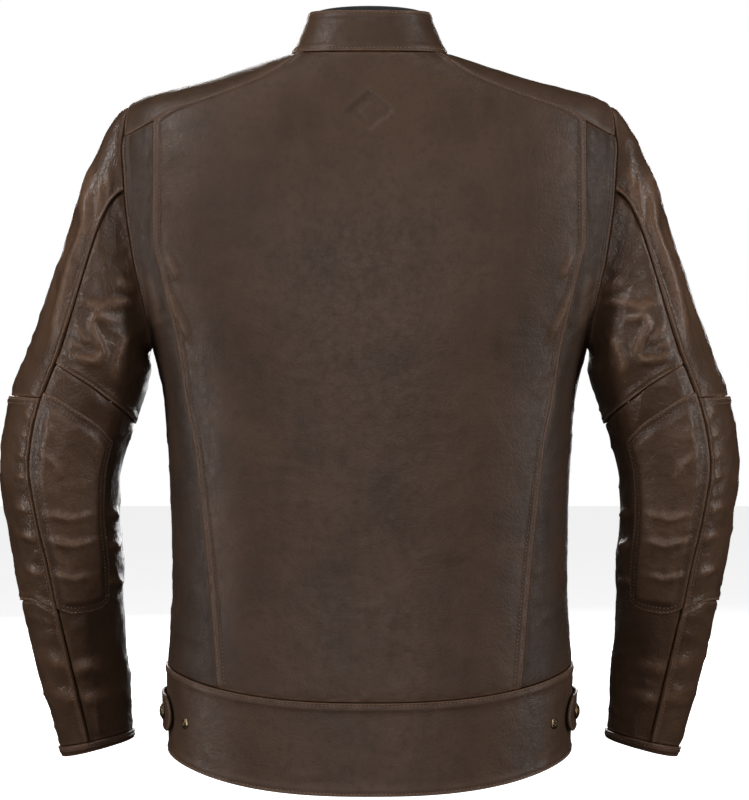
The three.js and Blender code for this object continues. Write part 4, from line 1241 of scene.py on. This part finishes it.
def make_tape(name, at, length, low, high, depth, thick):
    """A strip of woven tape between two distances across a zip, with a corded inner edge."""
    x = np.concatenate([[low], np.linspace(low + 0.6, high - 0.6, 6), [high]])
    y = np.linspace(0, length, int(length / 6))
    grid_x, grid_y = np.meshgrid(x, y)
    cord = 0.5 * np.exp(-((np.abs(grid_x) - 3.4) / 0.9) ** 2)
    top = np.stack([grid_x, grid_y, -depth + cord], -1).reshape(-1, 3)
    foot = np.stack([grid_x, grid_y, -depth - thick + 0 * grid_x], -1).reshape(-1, 3)
    obj = add_mesh(name, at(np.concatenate([top, foot])), shell_faces(*grid_x.shape))
    obj.data.materials.append(TAPE)
    return obj


def brass(obj, *bodies_and_nodes):
    body_name, *nodes = bodies_and_nodes
    obj.data.materials.append(BRASS)
    return place(obj, "antique_brass", (body_name,), nodes)


def eye_rise(slider, puller):
    return slider["length"] / 2 + puller["width"] / 2 + LAY


def make_main_zip():
    high = np.array([0, front_y(0), front_z(0)], float)
    low = np.array([0, front_y(BACK_LENGTH), front_z(BACK_LENGTH)], float)
    up = unit(high - low)
    out = np.array([0, -up[2], up[1]])
    length = np.linalg.norm(high - low) - 2 * ZIP_MARGIN
    foot = Frame(low + up * ZIP_MARGIN, up, out)
    for (tag, sign), offset in zip(SIDES, (0, TOOTH_PITCH / 2)):
        tape = make_tape(f"zip_tape_{tag}", foot, length, sign * 0.35, sign * TAPE_EDGE, TAPE_DEPTH, 0.9)
        on_jacket(tape, "zip_tape", f"main_zip_tape_{tag}")
        on_jacket(make_teeth(f"zip_teeth_{tag}", foot, length, offset, sign), "antique_brass")
    head = Frame(high - SLIDER_DROP * up, up, out)
    slider = make_slider("zip_slider", head.shifted(0, 0, LAY - CHAIN_DEPTH), SLIDER)
    brass(slider, "main_slider", "main_zip_slider")
    rise = 2 * LAY - CHAIN_DEPTH + SLIDER["height"]
    puller = make_puller("zip_puller", head.shifted(0, eye_rise(SLIDER, PULLER), rise), PULLER)
    brass(puller, "main_puller", "main_zip_puller")


def mirrored(point, sign):
    return np.asarray(point, float) * [sign, 1, 1]


def body_point(phi, v, lift, sign):
    """A point above the body's surface and the surface's normal there."""
    a, b = np.array([[phi]], float), np.array([[v]], float)
    n = normals(body, a, b)
    return mirrored((body(a, b) + n * lift)[0, 0], sign), mirrored(n[0, 0], sign)


def make_pocket(tag, sign):
    def edge(offset):
        return lambda v: angle_at(POCKET["x"] + offset, v, True)

    half = POCKET["half"]
    shape = (edge(half), edge(-half), flat(POCKET["top"]), flat(POCKET["bottom"]))
    tape = body_panel(f"pocket_tape_{tag}", shape, (14, 135), 2.6, sign=sign, depth=-LAY - POCKET["tape"],
                      thick=POCKET["tape"], edges=("plain",) * 4, rough=0, seed=111)
    on_jacket(tape.build(TAPE), "zip_tape", f"pocket_zip_{tag}")
    sewn(tape, f"thread_pocket_{tag}", [(side, 1.6, (2, 2)) for side in ("left", "right", "top", "foot")],
         slot="zip_tape", bodies=(JACKET,))
    shape = (edge(BAG["front"]), edge(-BAG["back"]), flat(POCKET["top"] - BAG["above"]),
             flat(POCKET["bottom"] + BAG["below"]))
    bag = body_panel(f"cloth_pocket_{tag}", shape, (80, 165), 6, sign=sign, depth=LEATHER + BAG["gap"],
                     thick=BAG["thick"], edges=("plain",) * 4, rough=0.3, seed=112)
    on_jacket(bag.build(CLOTH), "lining_cloth", f"pocket_bag_{tag}")

    lift = 2 * LAY + POCKET["tape"]
    top, bottom = POCKET["top"] + POCKET["inset"], POCKET["bottom"] - POCKET["inset"]
    high, _ = body_point(edge(0)(top), top, lift, sign)
    low, _ = body_point(edge(0)(bottom), bottom, lift, sign)
    _, out = body_point(edge(0)(POCKET["top"] + 60), POCKET["top"] + 60, 0, sign)
    length = np.linalg.norm(high - low)
    chain = Frame(low + 0.25 * out, high - low, out)
    for side, offset in ((1, 0), (-1, TOOTH_PITCH / 2)):
        teeth = make_teeth(f"pocket_teeth_{tag}_{'a' if side > 0 else 'b'}", chain, length, offset, side)
        on_jacket(teeth, "antique_brass")
    head = Frame(high, high - low, out)
    slider = make_slider(f"pocket_runner_{tag}", head.shifted(0, 0, 0.2), POCKET_SLIDER)
    brass(slider, f"pocket_slider_{tag}", f"pocket_slider_{tag}")
    at = head.shifted(0, eye_rise(POCKET_SLIDER, POCKET_PULLER), 0.2 + LAY + POCKET_SLIDER["height"])
    puller = make_puller(f"pocket_pull_{tag}", at, POCKET_PULLER)
    brass(puller, f"pocket_puller_{tag}", f"pocket_puller_{tag}")


CAP_ROWS = [(7.5, 0), (7.5, 0.7), (7.2, 1.1), (6.5, 1.45), (6.2, 1.3), (5.9, 1.45), (5.2, 2.3), (3.9, 2.9),
            (2.2, 3.15), (0.5, 3.2)]
STUD_ROWS = [(5, 0), (5, 0.35), (4.7, 0.6), (3.2, 0.75), (2.7, 0.95), (2.95, 1.3), (2.8, 1.55), (1.2, 1.6),
             (0.8, 1.3)]
MM_PER_DEGREE = 2.3
tab_lift = profile([(0, TAB["lift"]), (96, TAB["lift"]), (TAB["sewn"], LAY)])


def make_tab(tag, sign):
    half = TAB["height"] / 2

    def rounded_end(v):
        rest = half - np.sqrt(np.maximum(0, half ** 2 - (np.asarray(v, float) - TAB["v"]) ** 2))
        return TAB["end"] + rest / MM_PER_DEGREE

    shape = (rounded_end, flat(TAB["sewn"]), flat(TAB["v"] - half), flat(TAB["v"] + half))
    tab = body_panel(f"leather_tab_{tag}", shape, (105, 35), 2.4, sign=sign,
                     depth=lambda phi, v: -tab_lift(phi) - TAB["thickness"], thick=TAB["thickness"],
                     edges=("plain",) * 4, rough=0.25, seed=121)
    riding = {"slot": "shell_leather", "bodies": (f"waist_tab_{tag}",)}
    place(tab.build(SHELL), nodes=[f"waist_tab_{tag}"], **riding)
    sewn(tab, f"thread_tab_{tag}", [(side, 2.6, (4, 4)) for side in ("left", "top", "foot")]
         + [("right", 2.6, (3, 3)), ("right", 9, (3, 3))], **riding)
    snaps = ((f"snap_cap_{tag}", CAP_AT, TAB["lift"] + TAB["thickness"] + LAY, CAP_ROWS, f"waist_tab_{tag}",
              f"waist_snap_cap_{tag}"),
             (f"stud_front_{tag}", CAP_AT, LAY, STUD_ROWS, JACKET, f"snap_stud_front_{tag}"),
             (f"stud_rear_{tag}", SPARE_AT, LAY, STUD_ROWS, JACKET, f"snap_stud_rear_{tag}"))
    for name, phi, lift, rows, body_name, node in snaps:
        origin, out = body_point(phi, TAB["v"], lift, sign)
        brass(turned(name, Frame(origin, (0, 0, 1), out), rows), body_name, node)


LOOP_Y = -8.8


def make_loop():
    """The hanger loop, a doubled tape sewn inside the collar by its two ends."""
    t = np.linspace(0, 1, 25)
    x = mix(-26, 26, t)
    y = 11 + (1 - (2 * t - 1) ** 2) * -8.6
    across = np.linspace(-1, 1, 5)
    grid_x = x[:, None] + 0 * across
    rise = -0.55 * (1 - across ** 2) + 0 * grid_x
    grid_z = y[:, None] + across * (1.6 + 1.0 * np.abs(2 * t - 1)[:, None] ** 2)
    front = np.stack([grid_x, LOOP_Y - 0.2 + rise * 0.3, grid_z], -1).reshape(-1, 3)
    rear = front + [0, 0.9, 0]
    loop = add_mesh("tape_loop", np.concatenate([front, rear]), shell_faces(*grid_x.shape))
    loop.data.materials.append(TAPE)
    on_jacket(loop, "lining_cloth", "hanger_loop")


# ------------------------------------------------------------------ the studio
def pale(name, tone, rough, glow):
    """A pale studio surface that gives off some light of its own."""
    s = Shader(name, Roughness=rough, Emission_Color=(1, 1, 1, 1), Emission_Strength=glow)
    s.wire("Base Color", s.blend(s.spread(s.noise(300, 2), 0.3, 0.7), scaled(tone, 0.985), tone))
    return s.material


def soft_light(name, location, size, power):
    data = bpy.data.lights.new(name, "AREA")
    data.shape = "RECTANGLE"
    data.size, data.size_y = size
    data.energy = power
    lamp = bpy.data.objects.new(name, data)
    lamp.location = location
    lamp.rotation_mode = "QUATERNION"
    lamp.rotation_quaternion = (Vector(MIDDLE) - Vector(location)).to_track_quat("-Z", "Y")
    bpy.context.scene.collection.objects.link(lamp)


def make_studio():
    ground = pale("pale_floor", (0.86, 0.86, 0.86), 0.85, 0.86)
    corners = [(x * FLOOR_HALF, y * FLOOR_HALF, FLOOR_Z) for x, y in ((-1, -1), (1, -1), (1, 1), (-1, 1))]
    floor = add_mesh("studio_floor", corners, [[0, 1, 2, 3]])
    floor.data.materials.append(ground)
    floor.visible_diffuse = False
    floor.visible_glossy = False
    world = bpy.data.worlds.new("studio")
    bpy.context.scene.world = world
    world.use_nodes = True
    bpy.context.scene.view_settings.view_transform = "Standard"
    nodes, links = world.node_tree.nodes, world.node_tree.links
    dim = nodes["Background"]
    dim.inputs["Strength"].default_value = 0.09
    white = nodes.new("ShaderNodeBackground")
    white.inputs["Strength"].default_value = 1.0
    white.inputs["Color"].default_value = (1, 1, 1, 1)
    ray = nodes.new("ShaderNodeLightPath")
    shown = nodes.new("ShaderNodeMixShader")
    links.new(ray.outputs["Is Camera Ray"], shown.inputs[0])
    links.new(dim.outputs[0], shown.inputs[1])
    links.new(white.outputs[0], shown.inputs[2])
    links.new(shown.outputs[0], nodes["World Output"].inputs["Surface"])
    for name, location, size, power in LIGHTS:
        soft_light(name, location, size, power)


# Area lights, as (name, location, size, watts), each aimed at the jacket's middle.
MIDDLE = (0, -0.1, -0.35)
LIGHTS = [
    ("key_left", (1.7, 1.0, 1.1), (0.4, 0.6), 26),
    ("key_right", (-1.9, 0.9, 0.6), (0.5, 0.8), 20),
    ("over", (0, 0.35, 1.8), (0.9, 0.4), 9),
    ("behind_camera", (0.2, 3.2, -0.2), (1.6, 1.2), 27),
    ("low_left", (1.9, 0.7, -0.6), (0.3, 0.9), 15),
    ("low_right", (-1.9, 0.7, -0.6), (0.3, 0.9), 12),
    ("front_left", (0.6, -2.6, 0.6), (0.7, 1.2), 34),
    ("front_right", (-0.7, -2.6, 0.0), (0.7, 1.2), 24),
]
FLOOR_Z = -760
FLOOR_HALF = 9000
CAMERA = {"place": (-0.0046, 2.62, -0.324), "angle": 16.1}


def make_camera():
    data = bpy.data.cameras.new("view")
    data.sensor_fit = "VERTICAL"
    data.sensor_height = 24
    data.lens = data.sensor_height / 2 / math.tan(math.radians(CAMERA["angle"] / 2))
    camera = bpy.data.objects.new("view", data)
    camera.location = CAMERA["place"]
    camera.rotation_euler = (math.pi / 2, 0, math.pi)
    bpy.context.scene.collection.objects.link(camera)
    bpy.context.scene.camera = camera


# ------------------------------------------------------------------ the whole jacket
make_camera()
make_studio()
make_back()
make_band()
make_collar()
make_lining_and_pads()
make_main_zip()
make_loop()
for side_tag, side_sign in SIDES:
    make_body_side(side_tag, side_sign)
    make_sleeve(side_tag, side_sign)
    make_pocket(side_tag, side_sign)
    make_tab(side_tag, side_sign)
